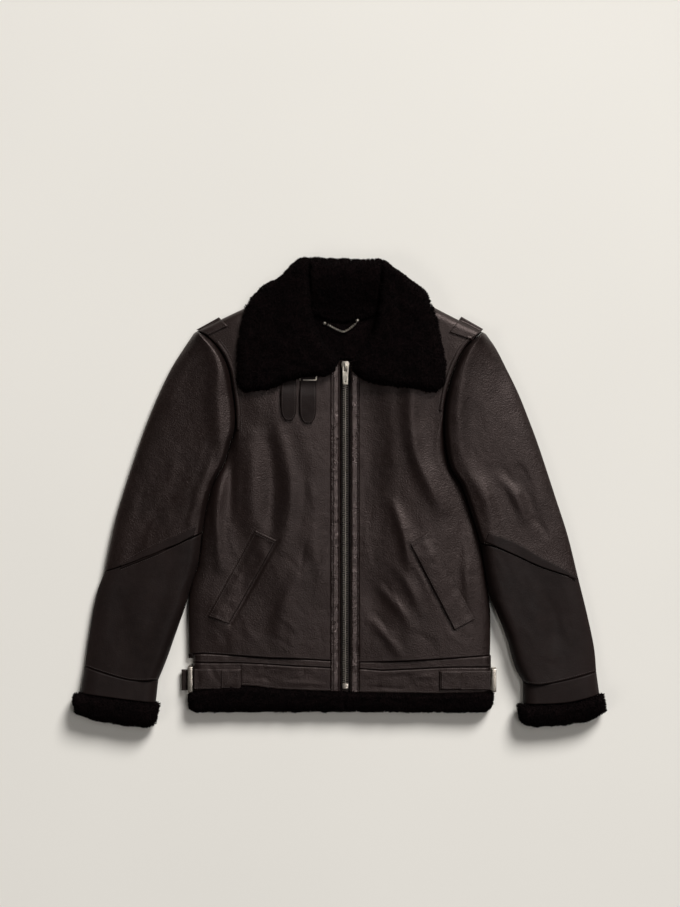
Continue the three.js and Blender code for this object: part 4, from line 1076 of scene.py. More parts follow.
@shared("Pile on a pelt")
def pile_tree(name):
    """Grows locks of wool on the faces of a pelt that point out and up."""
    tree, into, out = new_tree(
        name, "GeometryNodeTree",
        {"Geometry": ("NodeSocketGeometry", None), "Lock": ("NodeSocketObject", None),
         "Spacing": (FLOAT, 0.002), "Lean": (FLOAT, 0.5), "Lowest slope": (FLOAT, -0.3),
         "Seed": ("NodeSocketInt", 1), "Material": ("NodeSocketMaterial", None)},
        {"Geometry": "NodeSocketGeometry"},
    )
    normal = add(tree, "GeometryNodeInputNormal")
    split = add(tree, "ShaderNodeSeparateXYZ", {0: normal.outputs[0]})
    upper = add(tree, "FunctionNodeCompare", {0: split.outputs["Z"],
                                              1: into.outputs["Lowest slope"]},
                data_type="FLOAT", operation="GREATER_THAN")
    area = math_node(tree, "MULTIPLY", into.outputs["Spacing"], into.outputs["Spacing"])
    most = math_node(tree, "DIVIDE", 4.0, area)
    points = add(tree, "GeometryNodeDistributePointsOnFaces",
                 {"Mesh": into.outputs["Geometry"], "Selection": upper.outputs[0],
                  "Seed": into.outputs["Seed"]}, distribute_method="POISSON")
    tree.links.new(into.outputs["Spacing"], points.inputs["Distance Min"])
    tree.links.new(most, points.inputs["Density Max"])
    lean_low = math_node(tree, "MULTIPLY", into.outputs["Lean"], -1.0)
    flat_low = add(tree, "ShaderNodeCombineXYZ", {"X": lean_low, "Y": lean_low, "Z": -math.pi})
    flat_high = add(tree, "ShaderNodeCombineXYZ",
                    {"X": into.outputs["Lean"], "Y": into.outputs["Lean"], "Z": math.pi})
    tilt = add(tree, "FunctionNodeRandomValue", {"Seed": into.outputs["Seed"]},
               data_type="FLOAT_VECTOR")
    tree.links.new(flat_low.outputs[0], tilt.inputs[0])
    tree.links.new(flat_high.outputs[0], tilt.inputs[1])
    upright = turned_by(tree, points.outputs["Rotation"], tilt.outputs[0])
    size = add(tree, "FunctionNodeRandomValue", {"Seed": into.outputs["Seed"]}, data_type="FLOAT")
    size.inputs[2].default_value = 0.65
    size.inputs[3].default_value = 1.15
    lock = add(tree, "GeometryNodeObjectInfo", {"Object": into.outputs["Lock"]})
    grown = add(tree, "GeometryNodeInstanceOnPoints",
                {"Points": points.outputs["Points"], "Instance": lock.outputs["Geometry"],
                 "Rotation": upright, "Scale": size.outputs[1]})
    finish_tree(tree, into, out, grown.outputs[0])


def grow(name, mesh, tree, values, smooth=True):
    """The plain mesh that a tree makes of a host mesh, as a piece of its own."""
    host = bpy.data.objects.new("host", mesh)
    modifier = host.modifiers.new(tree.name, "NODES")
    modifier.node_group = tree
    for item in tree.interface.items_tree:
        if item.item_type == "SOCKET" and item.in_out == "INPUT" and item.name in values:
            modifier[item.identifier] = values[item.name]
    bpy.context.scene.collection.objects.link(host)
    drawn = host.evaluated_get(bpy.context.evaluated_depsgraph_get())
    made = bpy.data.meshes.new_from_object(drawn)
    host.modifiers.remove(modifier)
    bpy.data.objects.remove(host)
    made.name = name
    made.polygons.foreach_set("use_smooth", [smooth] * len(made.polygons))
    piece = bpy.data.objects.new(name, made)
    bpy.context.scene.collection.objects.link(piece)
    return piece


def ring_faces(a, b, sides):
    """Faces between two rings of points, whose first points are a and b."""
    after = [(s + 1) % sides for s in range(sides)]
    return [(a + s, a + t, b + t, b + s) for s, t in enumerate(after)]


def master(name, points, faces):
    """A small mesh, in metres, that a tree repeats. It isn't a piece itself."""
    mesh = bpy.data.meshes.new(name)
    mesh.from_pydata([tuple(p) for p in points], [], faces)
    mesh.update()
    return bpy.data.objects.new(name, mesh)


def bead(name, long, wide, tall, sides=6, rings=4):
    """A rounded grain, long along X, such as one stitch."""
    points = [(-long / 2, 0, 0)]
    for k in range(1, rings):
        angle = math.pi * k / rings
        x, r = -math.cos(angle) * long / 2, math.sin(angle) ** 0.6
        for s in range(sides):
            turn = 2 * math.pi * s / sides
            points.append((x, r * math.cos(turn) * wide / 2, r * math.sin(turn) * tall / 2))
    points.append((long / 2, 0, 0))
    faces = [(0, 1 + (s + 1) % sides, 1 + s) for s in range(sides)]
    for k in range(rings - 2):
        faces += ring_faces(1 + k * sides, 1 + (k + 1) * sides, sides)
    last, end = 1 + (rings - 2) * sides, len(points) - 1
    faces += [(last + s, last + (s + 1) % sides, end) for s in range(sides)]
    return master(name, points, faces)


def lock_of_wool(pile):
    """One curved, pointed lock with three sides, standing on its root."""
    rings = ((-0.35, 0.0, 0.34), (0.45, 0.06, 0.26), (0.8, 0.16, 0.14))
    points = []
    for z, lean, r in rings:
        for s in range(3):
            turn = 2 * math.pi * s / 3
            points.append(((lean + r * math.cos(turn)) * pile, r * math.sin(turn) * pile, z * pile))
    points.append((0.3 * pile, 0, pile))
    faces = [(2, 1, 0)]
    for k in (0, 3):
        faces += ring_faces(k, k + 3, 3)
    faces += [(6 + s, 6 + (s + 1) % 3, 9) for s in range(3)]
    return master("lock", points, faces)


def pile_on(pelt, spacing=1.0, lean=0.55, slope=-0.35, seed=1):
    """The wool of a pelt, as a piece beside it."""
    sizes = bpy.context.scene.jacket_sizes
    piece = grow(
        pelt.name.replace("_pelt", "_pile"), pelt.data, pile_tree(),
        {"Lock": lock_of_wool(sizes.pile), "Spacing": sizes.lock_spacing * spacing, "Lean": lean,
         "Lowest slope": slope, "Seed": seed, "Material": materials["sheared_wool"]()},
    )
    for point in piece.data.vertices:
        point.co.z = max(point.co.z, 0.0)
    dress(piece, "sheared_wool", "fur")


THREAD_LIFT = 0.12
stitch_lines = []


def stitch(line, names, samples=80):
    """Notes a seam on some surfaces. It is sewn when all the pieces are there."""
    plan = line(np.linspace(0, 1, samples))
    z = ground(names, plan[:, 0], plan[:, 1], BODY_MID) + THREAD_LIFT
    stitch_lines.append(np.column_stack([plan, z]))


def wire_mesh(name, lines):
    """A host mesh whose edges follow some lines, given in pattern millimetres."""
    points, edges = [], []
    for line in lines:
        start = len(points)
        points += [tuple(p) for p in line]
        edges += [(start + k, start + k + 1) for k in range(len(line) - 1)]
    piece = new_piece(name, points, [], edges)
    mesh = piece.data
    bpy.data.objects.remove(piece)
    return mesh


# Body
def front_face(x, y, _u):
    seams = 0.5 * rumple(x, y, 7, 5) * np.exp(-np.abs(x - ZIP_X) / 34)
    folds = fold_height(FRONT_FOLDS, x, y) + 0.5 * fold_height(FRONT_CREASES, x, y)
    puff = 5.5 * np.sin(math.pi * np.minimum(1, np.abs(x - ZIP_X) / 236)) - 2.0
    folds = folds + fold_height(FRONT_SWELLS, x, y)
    return BODY_TOP + puff + folds + hide_relief(x, y, 11) + seams


def flat(z):
    return lambda x, y, _u=None: z + 0 * x


def make_body():
    """Back panel, the two fronts and the plackets along the zip."""
    step = bpy.context.scene.jacket_sizes.weave_step / MM
    low = {side: (FRONT_SIDE_X[side], BACK_HEM_Y) for side in SIDES}
    back = pillow(
        "back_leather",
        patch(curve([low["left"], *SIDE["left"]]), curve([low["right"], *SIDE["right"]]),
              curve([low["left"], low["right"]]),
              line_of(back_top, SIDE["left"][-1][0], SIDE["right"][-1][0])),
        (12, 12, CUT_EDGE, 6), flat(0.0), flat(SKIN), rim=1.0, plain="high", step=6.0, keep=6,
    )
    dress(back, "waxed_leather", "leather", "back")
    for side in SIDES:
        edge_x = FRONT_EDGE_X[side]
        hem = (edge_x, float(level_at(FRONT_HEM, edge_x)))
        neck, tip = NECKLINE[side][-1], SIDE[side][-1]
        middle = (neck[0] + tip[0]) / 2
        front = pillow(
            f"front_{side}_leather",
            patch(curve([hem, (edge_x, -100), (edge_x, 60), (edge_x, 204), *NECKLINE[side]]),
                  curve(SIDE[side]), level(FRONT_HEM, edge_x, SIDE[side][0][0]),
                  curve([neck, (middle, float(back_top(middle))), tip])),
            (CUT_EDGE, (FOLD_EDGE, 3), CUT_EDGE, SHOULDER_EDGE), flat(BODY_MID), front_face,
            step=step,
        )
        dress(front, "waxed_leather", "leather", f"front_{side}")
        make_placket(side, step)


# Each seam sinks into its placket: (share of the width from the outer edge, width, depth)
PLACKET_SEAMS = ((0.2, 1.1, 0.5), (0.86, 1.0, 0.4))
PLACKET_WIDTH = 13
# A strip of each placket falls to the right, and gleams there.
GLEAM_X = {"left": -2.5, "right": 24.0}
GLEAM_SLOPE = 0.17
GLEAM_REACH = 6.5


def make_placket(side, step):
    outer_x, inner_x = PLACKET[side]
    outer_x += SIGN[side] * 0.9
    low = float(level_at(FUR_TOP, outer_x)) + SEAM

    def face(x, y, _u):
        across = abs(x - outer_x) / abs(inner_x - outer_x)
        pucker = rumple(x, y, 6.5, 21) * 0.4 + rumple(x * 0.5, y, 17, 22) * 0.5
        off = x - GLEAM_X[side]
        pucker = pucker - GLEAM_SLOPE * off * np.exp(-((off / GLEAM_REACH) ** 4))
        groove = 0
        for share, width, deep in PLACKET_SEAMS:
            groove = groove + np.exp(-(((across - share) * PLACKET_WIDTH / width) ** 2)) * deep
        return PLACKET_TOP + pucker - groove

    piece = pillow(
        f"placket_{side}_leather", rectangle(outer_x, inner_x, low, ZIP_TOP), (0.9, 5, 1.2, 1.2),
        flat(BODY_MID), face, step=min(step, 1.4), keep=4,
    )
    dress(piece, "polished_leather", "leather", f"placket_{side}")
    for share, _, _ in PLACKET_SEAMS:
        x = outer_x + (inner_x - outer_x) * share
        stitch(curve([(x, low + 3), (x, ZIP_TOP - 10)]), [piece.name], samples=260)


def make_waist():
    """Seam tape, waistband and the band across the back."""
    for side in SIDES:
        x0, x1 = FRONT_EDGE_X[side] + SIGN[side] * SEAM, WAIST_END[side]

        def band(low_line, high_line, x0=x0, x1=x1):
            low, high = level(low_line, x0, x1, SEAM), level(high_line, x0, x1, -SEAM)
            return patch(curve([low(0), high(0)]), curve([low(1), high(1)]), low, high)

        def tape_face(x, y, _u):
            return TAPE_TOP + 0.25 * rumple(x, y, 8, 31)

        def band_face(x, y, _u):
            folds = fold_height(BAND_FOLDS, x, y)
            return BAND_TOP + folds + 0.45 * rumple(x, y, 26, 32) + 0.3 * rumple(x, y, 8, 33)

        tape = pillow(f"hem_tape_{side}_cloth", band(WAIST_TOP, FRONT_HEM), (0.8, 14, 0.4, 0.4),
                      flat(BODY_MID), tape_face, step=1.8, keep=8)
        dress(tape, "waxed_leather", "tape", f"hem_tape_{side}")
        along = np.linspace(x0, x1, 24)
        foot, head = level_at(WAIST_TOP, along), level_at(FRONT_HEM, along)
        for share in (0.2, 0.8):
            line = np.column_stack([along, foot + (head - foot) * share])
            stitch(curve(line.tolist()), [tape.name], samples=160)
        waist = pillow(f"waistband_{side}_leather", band(FUR_TOP, WAIST_TOP), (0.8, 14, 1.2, 0.4),
                       flat(BODY_MID), band_face, step=1.8, keep=8)
        dress(waist, "waxed_leather", "leather", f"waistband_{side}")
        inner, outer = x0 + SIGN[side] * 1.5, x1 - SIGN[side] * 6
        stitch(level(FRONT_HEM, inner, outer, 2.6), [f"front_{side}_leather"], samples=160)
        stitch(level(WAIST_TOP, inner, outer, -2.6), [waist.name], samples=160)
        stitch(level(FUR_TOP, inner, outer, 4.0), [waist.name], samples=160)
    x0, x1 = WAIST_END["left"], WAIST_END["right"]
    high = BACK_HEM_Y - SEAM
    low = level(FUR_TOP, x0, x1, SEAM)
    back = pillow(
        "waistband_back_leather",
        patch(curve([low(0), (x0, high)]), curve([low(1), (x1, high)]), low,
              curve([(x0, high), (x1, high)])),
        (10, 10, 1.2, 1.2), flat(0.0), flat(SKIN), rim=1.0, plain="high", step=6.0, keep=4,
    )
    dress(back, "waxed_leather", "leather", "waistband_back")
    x = BAND_SEAM_X + 2.4
    stitch(curve([(x, -273), (x, -303)]), ["waistband_left_leather"], samples=20)


def pelt(node, plan, edges, low, high, rim=0.0, plain="low", step=2.6, keep=10, wavy=1.3):
    piece = pillow(f"{node}_pelt", plan, edges, low, high, rim=rim, plain=plain, step=step,
                   keep=keep, wavy=wavy)
    return dress(piece, "sheared_wool", "fur", node)


def fur_strip(x0, x1, corner0, corner1):
    """Plan of a hem fur strip. A corner is (x at its top, x at the hem)."""

    def end(x, corner):
        if corner is None:
            return [(x, HEM_Y), (x, float(level_at(FUR_TOP, x)) - SEAM)]
        top_x, hem_x = corner
        return [(hem_x, HEM_Y), (top_x - (top_x - hem_x) * 0.25, HEM_Y + 8),
                (top_x, float(level_at(FUR_TOP, top_x)) - SEAM)]

    a, b = end(x0, corner0), end(x1, corner1)
    return patch(curve(a), curve(b), curve([a[0], b[0]]),
                 level(FUR_TOP, a[-1][0], b[-1][0], -SEAM))


def wool_face(base, seed, depth=1.0):
    return lambda x, y, _u: base + depth * wool_relief(x, y, seed)


def make_hem():
    """Fur below the waistband, on both fronts and across the back."""
    meet = {"left": ZIP_X - SEAM, "right": ZIP_X + SEAM}
    for number, side in enumerate(SIDES):
        strip = pelt(f"hem_fur_{side}", fur_strip(meet[side], 0, None, FUR_CORNER[side]),
                     (5, 14, 14, 4), flat(BODY_MID), wool_face(HEM_FUR_TOP - 1.5, 41 + number))
        pile_on(strip, spacing=0.86, seed=11 + number)
    under = pelt("hem_fur_back", fur_strip(0, 0, FUR_CORNER["left"], FUR_CORNER["right"]),
                 (9, 9, 9, 1.2), flat(0.0), flat(SKIN), rim=1.0, plain="high", step=5.0)
    pile_on(under, spacing=1.0, slope=-0.96, lean=0.3, seed=13)


# Where the sleeve starts to fall, in shares of its width from the body
CREST = {"outward": 0.14, "inward": 0.2}


def sleeve_face(x, y, u):
    folds = fold_height(SLEEVE_FOLDS, x, y) + 0.5 * fold_height(SLEEVE_CREASES, x, y)
    outward_fall = np.clip((u - CREST["outward"]) / (1 - CREST["outward"]), 0.0, None)
    inward_fall = np.clip((CREST["inward"] - u) / 0.4, 0.0, None)
    folds = folds + 1.0 - 15.0 * outward_fall**1.12 - 13.0 * inward_fall**2
    across = np.abs(x) + 0.22 * y
    return SLEEVE_TOP + folds + 1.2 * hide_relief(across + 300 * (x > 0), y, 51)


def make_sleeves():
    """Upper sleeve, forearm and the plain under side of each arm, with the elbow tape."""
    step = bpy.context.scene.jacket_sizes.weave_step / MM
    for side in SIDES:
        s = SLEEVE[side]
        away = -SIGN[side] * SIDE_SEAM
        place = ELBOW_ON_SIDE[side]
        armhole = moved(SIDE[side][place:], away).tolist()
        shoulder = [armhole[-1], s["outer_high"][-1]]
        elbow = [armhole[0], *s["elbow"][1:]]
        valley = moved(SIDE[side][2:place + 1], away).tolist()
        inner = [*s["inner_low"], *valley]
        lowered = [(x, y - 2 * SEAM) for x, y in elbow]
        top = pillow(
            f"sleeve_top_{side}_leather",
            patch(curve(armhole), curve(s["outer_high"]), curve(elbow), curve(shoulder)),
            (8, 30, CUT_EDGE, SHOULDER_EDGE), flat(SLEEVE_MID), sleeve_face, step=step,
        )
        dress(top, "waxed_leather", "leather", f"sleeve_top_{side}")
        forearm = pillow(
            f"sleeve_forearm_{side}_suede",
            patch(curve([*inner[:-1], lowered[0]]), curve([*s["outer_low"][:-1], lowered[-1]]),
                  curve(s["cuff_seam"]), curve(lowered)),
            (16, 28, CUT_EDGE, CUT_EDGE), flat(SLEEVE_MID), sleeve_face, step=step,
        )
        dress(forearm, "matt_leather", "sueded_leather", f"sleeve_forearm_{side}")
        under = pillow(
            f"sleeve_under_{side}_suede",
            patch(curve([*inner, *armhole[1:]]), curve([*s["outer_low"], *s["outer_high"][1:]]),
                  curve(s["cuff_seam"]), curve(shoulder)),
            (14, 18, CUT_EDGE, SHOULDER_EDGE), flat(0.0), flat(SLEEVE_SKIN), rim=1.0,
            plain="high", step=5.0, keep=5,
        )
        dress(under, "matt_leather", "sueded_leather", f"sleeve_under_{side}")
        make_elbow_tape(side, top.name, forearm.name)


def make_elbow_tape(side, top, forearm):
    s = SLEEVE[side]
    tape = laid_strip(
        f"elbow_tape_{side}_cloth", strip_between(s["tape_low"], s["tape_high"]),
        ELBOW_TAPE_THICK, [top, forearm], fall=SLEEVE_MID + 8, step=1.8,
    )
    dress(tape, "matt_leather", "tape", f"elbow_tape_{side}")
    for name, away in (("tape_high", 2.4), ("tape_low", -2.4)):
        line = moved(s[name], SIGN[side] * away)
        stitch(curve(line), [top, forearm], samples=120)


def make_cuffs():
    """Cuff bands, and the fur that shows at the end of each sleeve."""
    for number, side in enumerate(SIDES):
        s = SLEEVE[side]
        seam = [(x, y - SEAM) for x, y in s["cuff_seam"]]
        plan = patch(curve([s["cuff_end"][0], seam[0]]), curve([s["cuff_end"][-1], seam[-1]]),
                     curve(s["cuff_end"]), curve(seam))

        def face(x, y, _u):
            return CUFF_TOP + 0.7 * hide_relief(x, y, 61)

        band = pillow(f"cuff_band_{side}_suede", plan, (20, 26, CUT_EDGE, 0.4),
                      flat(SLEEVE_MID), face, step=2.0)
        dress(band, "matt_leather", "sueded_leather", f"cuff_band_{side}")
        under = pillow(f"cuff_band_under_{side}_suede", plan, (14, 18, CUT_EDGE, CUT_EDGE),
                       flat(0.0), flat(SLEEVE_SKIN), rim=1.0, plain="high", step=4.0, keep=4)
        dress(under, "matt_leather", "sueded_leather", f"cuff_band_under_{side}")
        line = curve([(x, y + 3.2) for x, y in s["cuff_seam"]])
        stitch(line, [f"sleeve_forearm_{side}_suede"], samples=90)
        fur_plan = patch(curve([s["fur_end"][0], s["fur_top"][0]]),
                         curve([s["fur_end"][-1], s["fur_top"][-1]]), curve(s["fur_end"]),
                         curve(s["fur_top"]))
        edges = (FUR_EDGE, FUR_EDGE, FUR_EDGE, 10)
        top = pelt(f"cuff_fur_{side}", fur_plan, edges, flat(CUFF_FUR_MID),
                   wool_face(CUFF_FUR_TOP - 1, 71 + number, 1.2))
        low = pelt(f"cuff_fur_under_{side}", fur_plan, edges, flat(0.0),
                   flat(CUFF_FUR_MID - SEAM), rim=1.0, plain="high", step=4.0)
        pile_on(top, spacing=0.9, slope=-0.5, seed=21 + number)
        pile_on(low, spacing=1.0, slope=-0.96, lean=0.3, seed=31 + number)


def collar_seat(x, y):
    past = smoothstep(y - back_top(x), 1, 10)
    return COLLAR_SEAT + (1 - COLLAR_SEAT) * past


def make_collar():
    """The two falls, the standing back of the collar, and the fleece inside the neck."""
    left = NECK["left"] + [(NECK["top"][0], float(back_top(NECK["top"][0])) - SEAM)]
    right = NECK["right"] + [(NECK["top"][1], float(back_top(NECK["top"][1])) - SEAM)]
    fleece = pelt(
        "neck_fleece",
        patch(curve(left), curve(right), curve([left[0], right[0]]),
              line_of(back_top, *NECK["top"], -SEAM)),
        (3, 3, 3, 3), flat(BODY_MID), wool_face(BODY_TOP - 1.2, 81, 0.8),
    )
    pile_on(fleece, spacing=1.15, seed=41)
    for number, side in enumerate(SIDES):
        f = FALL[side]

        def face(x, y, u, number=number):
            crest = ROLL_TOP + (COLLAR_TOP - ROLL_TOP) * u
            folds = fold_height(FUR_FOLDS, x, y)
            return crest + folds + 1.3 * wool_relief(x, y, 91 + number)

        fall = pelt(
            f"collar_{side}",
            patch(curve(f["roll"]), curve(f["outer"]), curve(f["low"]), curve(f["top"])),
            (12, 16, 14, 14), collar_seat, face, rim=0.3,
        )
        pile_on(fall, spacing=1.0, seed=51 + number)
    make_back_collar()


def make_back_collar():
    c = BACK_COLLAR
    seam = line_of(back_top, c["left"], c["right"], 1.2)
    corner = (c["right"] + 4.5, c["high"] - 3)

    def face(x, y, _u):
        climb = smoothstep(y, 276, 352)
        crest = c["seat"] + (c["crest"] - c["seat"]) * climb
        return crest + wool_relief(x, y, 95) + fold_height(FUR_FOLDS, x, y)

    stand = pelt(
        "collar_back",
        patch(curve([seam(0), (c["left"], 328), (c["left"] - 2.6, c["high"])]),
              curve([seam(1), (c["right"] + 2, 328), corner]), seam,
              curve([(c["left"] - 2.6, c["high"]), (8, c["high"] - 3), corner])),
        (3, 3, 5, 16), flat(1.0), face, rim=0.3,
    )
    pile_on(stand, spacing=1.0, seed=61)


# Zip and metal
def outline_plate(loops, z0, z1, bevel):
    """A plate with rounded edges and holes, as points and faces in pattern millimetres."""
    shape = bpy.data.curves.new("plate", "CURVE")
    shape.dimensions = "2D"
    shape.fill_mode = "BOTH"
    shape.extrude = (z1 - z0) / 2 - bevel
    shape.bevel_depth = bevel
    shape.bevel_resolution = 2
    shape.offset = -bevel
    for loop in loops:
        line = shape.splines.new("POLY")
        line.points.add(len(loop) - 1)
        line.use_cyclic_u = True
        for point, (x, y) in zip(line.points, loop):
            point.co = (x, y, 0, 1)
    holder = bpy.data.objects.new("plate", shape)
    mesh = bpy.data.meshes.new_from_object(holder)
    points = np.array([v.co for v in mesh.vertices]) + (0, 0, (z0 + z1) / 2)
    faces = [tuple(p.vertices) for p in mesh.polygons]
    bpy.data.objects.remove(holder)
    bpy.data.curves.remove(shape)
    bpy.data.meshes.remove(mesh)
    return points, faces


def arc(cx, cy, r, start, end, steps=5):
    turns = np.radians(np.linspace(start, end, steps))
    return [(cx + r * math.cos(t), cy + r * math.sin(t)) for t in turns]


def rounded_box(x0, x1, y0, y1, r):
    return (
        arc(x1 - r, y1 - r, r, 0, 90) + arc(x0 + r, y1 - r, r, 90, 180)
        + arc(x0 + r, y0 + r, r, 180, 270) + arc(x1 - r, y0 + r, r, 270, 360)
    )


def turned_shape(profile, x, y, z, sides=20):
    """A round shape on an upright axis. The profile runs from its foot to its crown."""
    points, faces = [], []
    for r, height in profile:
        for s in range(sides):
            turn = 2 * math.pi * s / sides
            points.append((x + r * math.cos(turn), y + r * math.sin(turn), z + height))
    for k in range(len(profile) - 1):
        faces += ring_faces(k * sides, (k + 1) * sides, sides)
    faces.append(tuple(range(sides - 1, -1, -1)))
    faces.append(tuple(range((len(profile) - 1) * sides, len(profile) * sides)))
    return np.array(points), faces


def tube_ring(line, r, sides=8):
    """A closed round wire along a loop of points."""
    line = np.asarray(line, float)
    way = np.roll(line, -1, axis=0) - np.roll(line, 1, axis=0)
    way /= np.linalg.norm(way, axis=1)[:, None]
    middle = line - line.mean(0)
    normal = np.linalg.svd(middle)[2][2]
    side = np.cross(way, normal)
    points = []
    for p, s in zip(line, side):
        for k in range(sides):
            turn = 2 * math.pi * k / sides
            points.append(p + r * (math.cos(turn) * s + math.sin(turn) * normal))
    faces, count = [], len(line)
    for j in range(count):
        a, b = j * sides, (j + 1) % count * sides
        faces += [(a + k, b + k, b + (k + 1) % sides, a + (k + 1) % sides) for k in range(sides)]
    return np.array(points), faces


def outward(piece):
    """Turns the faces of a finished mesh so that they point out."""
    work = bmesh.new()
    work.from_mesh(piece.data)
    bmesh.ops.remove_doubles(work, verts=work.verts, dist=1e-7)
    bmesh.ops.recalc_face_normals(work, faces=work.faces)
    work.to_mesh(piece.data)
    work.free()
    return piece


SHARP_ANGLE = 30


def metal_piece(name, parts):
    points, faces = [], []
    for part_points, part_faces in parts:
        start = len(points)
        points += [tuple(p) for p in part_points]
        faces += [tuple(start + i for i in f) for f in part_faces]
    piece = outward(new_piece(name, points, faces))
    piece.data.set_sharp_from_angle(angle=math.radians(SHARP_ANGLE))
    return piece


HINGE = {"y": SLIDER["top"] - 7.5, "z": SLIDER["high"] + 0.4 + LUG["eye_high"] / 2}


def slider_parts():
    half, long = SLIDER["width"] / 2, SLIDER["length"]
    top, waist = SLIDER["top"], SLIDER["top"] - long * 0.35
    body = [
        (ZIP_X - half + 2.4, top - long), (ZIP_X + half - 2.4, top - long),
        (ZIP_X + half - 0.6, waist - 3), (ZIP_X + half, waist), (ZIP_X + half - 1, top - 1.6),
        (ZIP_X + half - 2.6, top), (ZIP_X - half + 2.6, top), (ZIP_X - half + 1, top - 1.6),
        (ZIP_X - half, waist), (ZIP_X - half + 0.6, waist - 3),
    ]
    floor = outline_plate([body], SLIDER["low"], SLIDER["low"] + 1.6, 0.35)
    inset = [(ZIP_X + (x - ZIP_X) * 0.82, top - 7 + (y - top + 7) * 0.95) for x, y in body]
    core = outline_plate([inset], SLIDER["low"] + 1.2, SLIDER["high"] - 1.4, 0.3)
    lid = outline_plate([body], SLIDER["high"] - 1.8, SLIDER["high"], 0.5)
    return [floor, core, lid, lug_part()]


def lug_part():
    """The bridge on the slider, with the eye that the pull tab's bar turns in."""
    half, eye, z0 = LUG["length"] / 2, LUG["eye"] / 2, SLIDER["high"] - 0.4
    outer = [(-half, 0)] + arc(-half + 2, LUG["high"] - 1.6, 2, 180, 90)
    outer += arc(half - 2, LUG["high"] - 1.6, 2, 90, 0) + [(half, 0)]
    foot, head = 0.6, LUG["eye_high"] + 0.7
    hole = [(-eye, foot), (-eye, head), (eye, head), (eye, foot)]
    points, faces = outline_plate([outer, hole], -LUG["width"] / 2, LUG["width"] / 2, 0.3)
    placed = np.column_stack([
        ZIP_X + points[:, 2], HINGE["y"] + points[:, 0], z0 + points[:, 1],
    ])
    return placed, faces


def tab_loops():
    half, long = TAB["width"] / 2, TAB["length"]
    reach = TAB["thick"] / 2
    y = HINGE["y"]
    outline = [(-half + 2, reach), (-half + 0.5, -1), (-half, -3), (-half + 0.8, -long + 2)]
    outline += arc(-half + 2.8, -long + 2, 2, 180, 270) + arc(half - 2.8, -long + 2, 2, 270, 360)
    outline += [(half, -3), (half - 0.5, -1), (half - 2, reach)]
    slot = rounded_box(-TAB["slot_width"] / 2, TAB["slot_width"] / 2, -reach - TAB["slot"],
                       -reach, 0.5)
    hole = arc(0, -long + 5, TAB["hole"], 0, 360, 15)[:-1]
    return [[(ZIP_X + px, y + py) for px, py in loop] for loop in (outline, slot, hole)]


def tooth_master():
    """One zip tooth: a shank clamped on the tape and a head that meshes in the middle."""
    reach, tall = TEETH["reach"], TEETH["tall"] / 2
    wide = bpy.context.scene.jacket_sizes.tooth_pitch / MM * 0.82
    sections = [(-0.9, 0.5, 0.62), (-0.4, 0.5, 0.95), (1.2, 0.42, 0.95), (2.0, 0.34, 0.7),
                (reach - 0.5, 0.5, 1.0), (reach, 0.46, 0.8)]
    points, faces = [], []
    for y, half, share in sections:
        w, h = half * wide, share * tall
        points += [(-w, y, -h * 0.8), (-w * 0.75, y, -h), (w * 0.75, y, -h), (w, y, -h * 0.8),
                   (w, y, h * 0.6), (w * 0.6, y, h), (-w * 0.6, y, h), (-w, y, h * 0.6)]
    for k in range(len(sections) - 1):
        faces += ring_faces(8 * k, 8 * k + 8, 8)
    faces.append(tuple(range(7, -1, -1)))
    faces.append(tuple(range(8 * len(sections) - 8, 8 * len(sections))))
    scaled = [(x * MM, y * MM, z * MM) for x, y, z in points]
    return master("tooth", scaled, [f[::-1] for f in faces])


def make_zip():
    """Teeth, bottom stop, slider and pull tab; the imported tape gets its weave."""
    sizes = bpy.context.scene.jacket_sizes
    line = [(ZIP_X, TEETH["low"], TEETH["z"]), (ZIP_X, TEETH["high"], TEETH["z"])]
    teeth = grow("zip_teeth_metal", wire_mesh("zip", [line]), row_tree(),
                 {"Piece": tooth_master(), "Pitch": sizes.tooth_pitch, "Turn": math.pi,
                  "Material": materials["worn_nickel"]()}, smooth=False)
    dress(teeth, "worn_nickel", "metal", "zip_teeth")
    half = STOP["width"] / 2
    stop = metal_piece("zip_bottom_stop_metal", [outline_plate(
        [rounded_box(ZIP_X - half, ZIP_X + half, STOP["low"], STOP["high"], 1.6)],
        STOP["z0"], STOP["z1"], 0.6)])
    dress(stop, "worn_nickel", "metal", "zip_bottom_stop")
    slider = metal_piece("zip_slider_metal", slider_parts())
    dress(slider, "worn_nickel", "metal", "zip_slider")
    low = HINGE["z"] - TAB["thick"] / 2
    tab = metal_piece("zip_pull_tab_plate",
                      [outline_plate(tab_loops(), low, low + TAB["thick"], 0.5)])
    dress(tab, "brushed_plate", "metal", "zip_pull_tab", body="pull_tab")
    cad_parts["zip_tape"].data.materials.clear()
    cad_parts["zip_tape"].data.materials.append(materials["woven_tape"]())


def strap_lift(way):
    """Height of a strap end off the front, by the distance from its tip."""
    return 0.8 + 3.4 * smoothstep(way, 0, 36) * (1 - smoothstep(way, 42, 62))


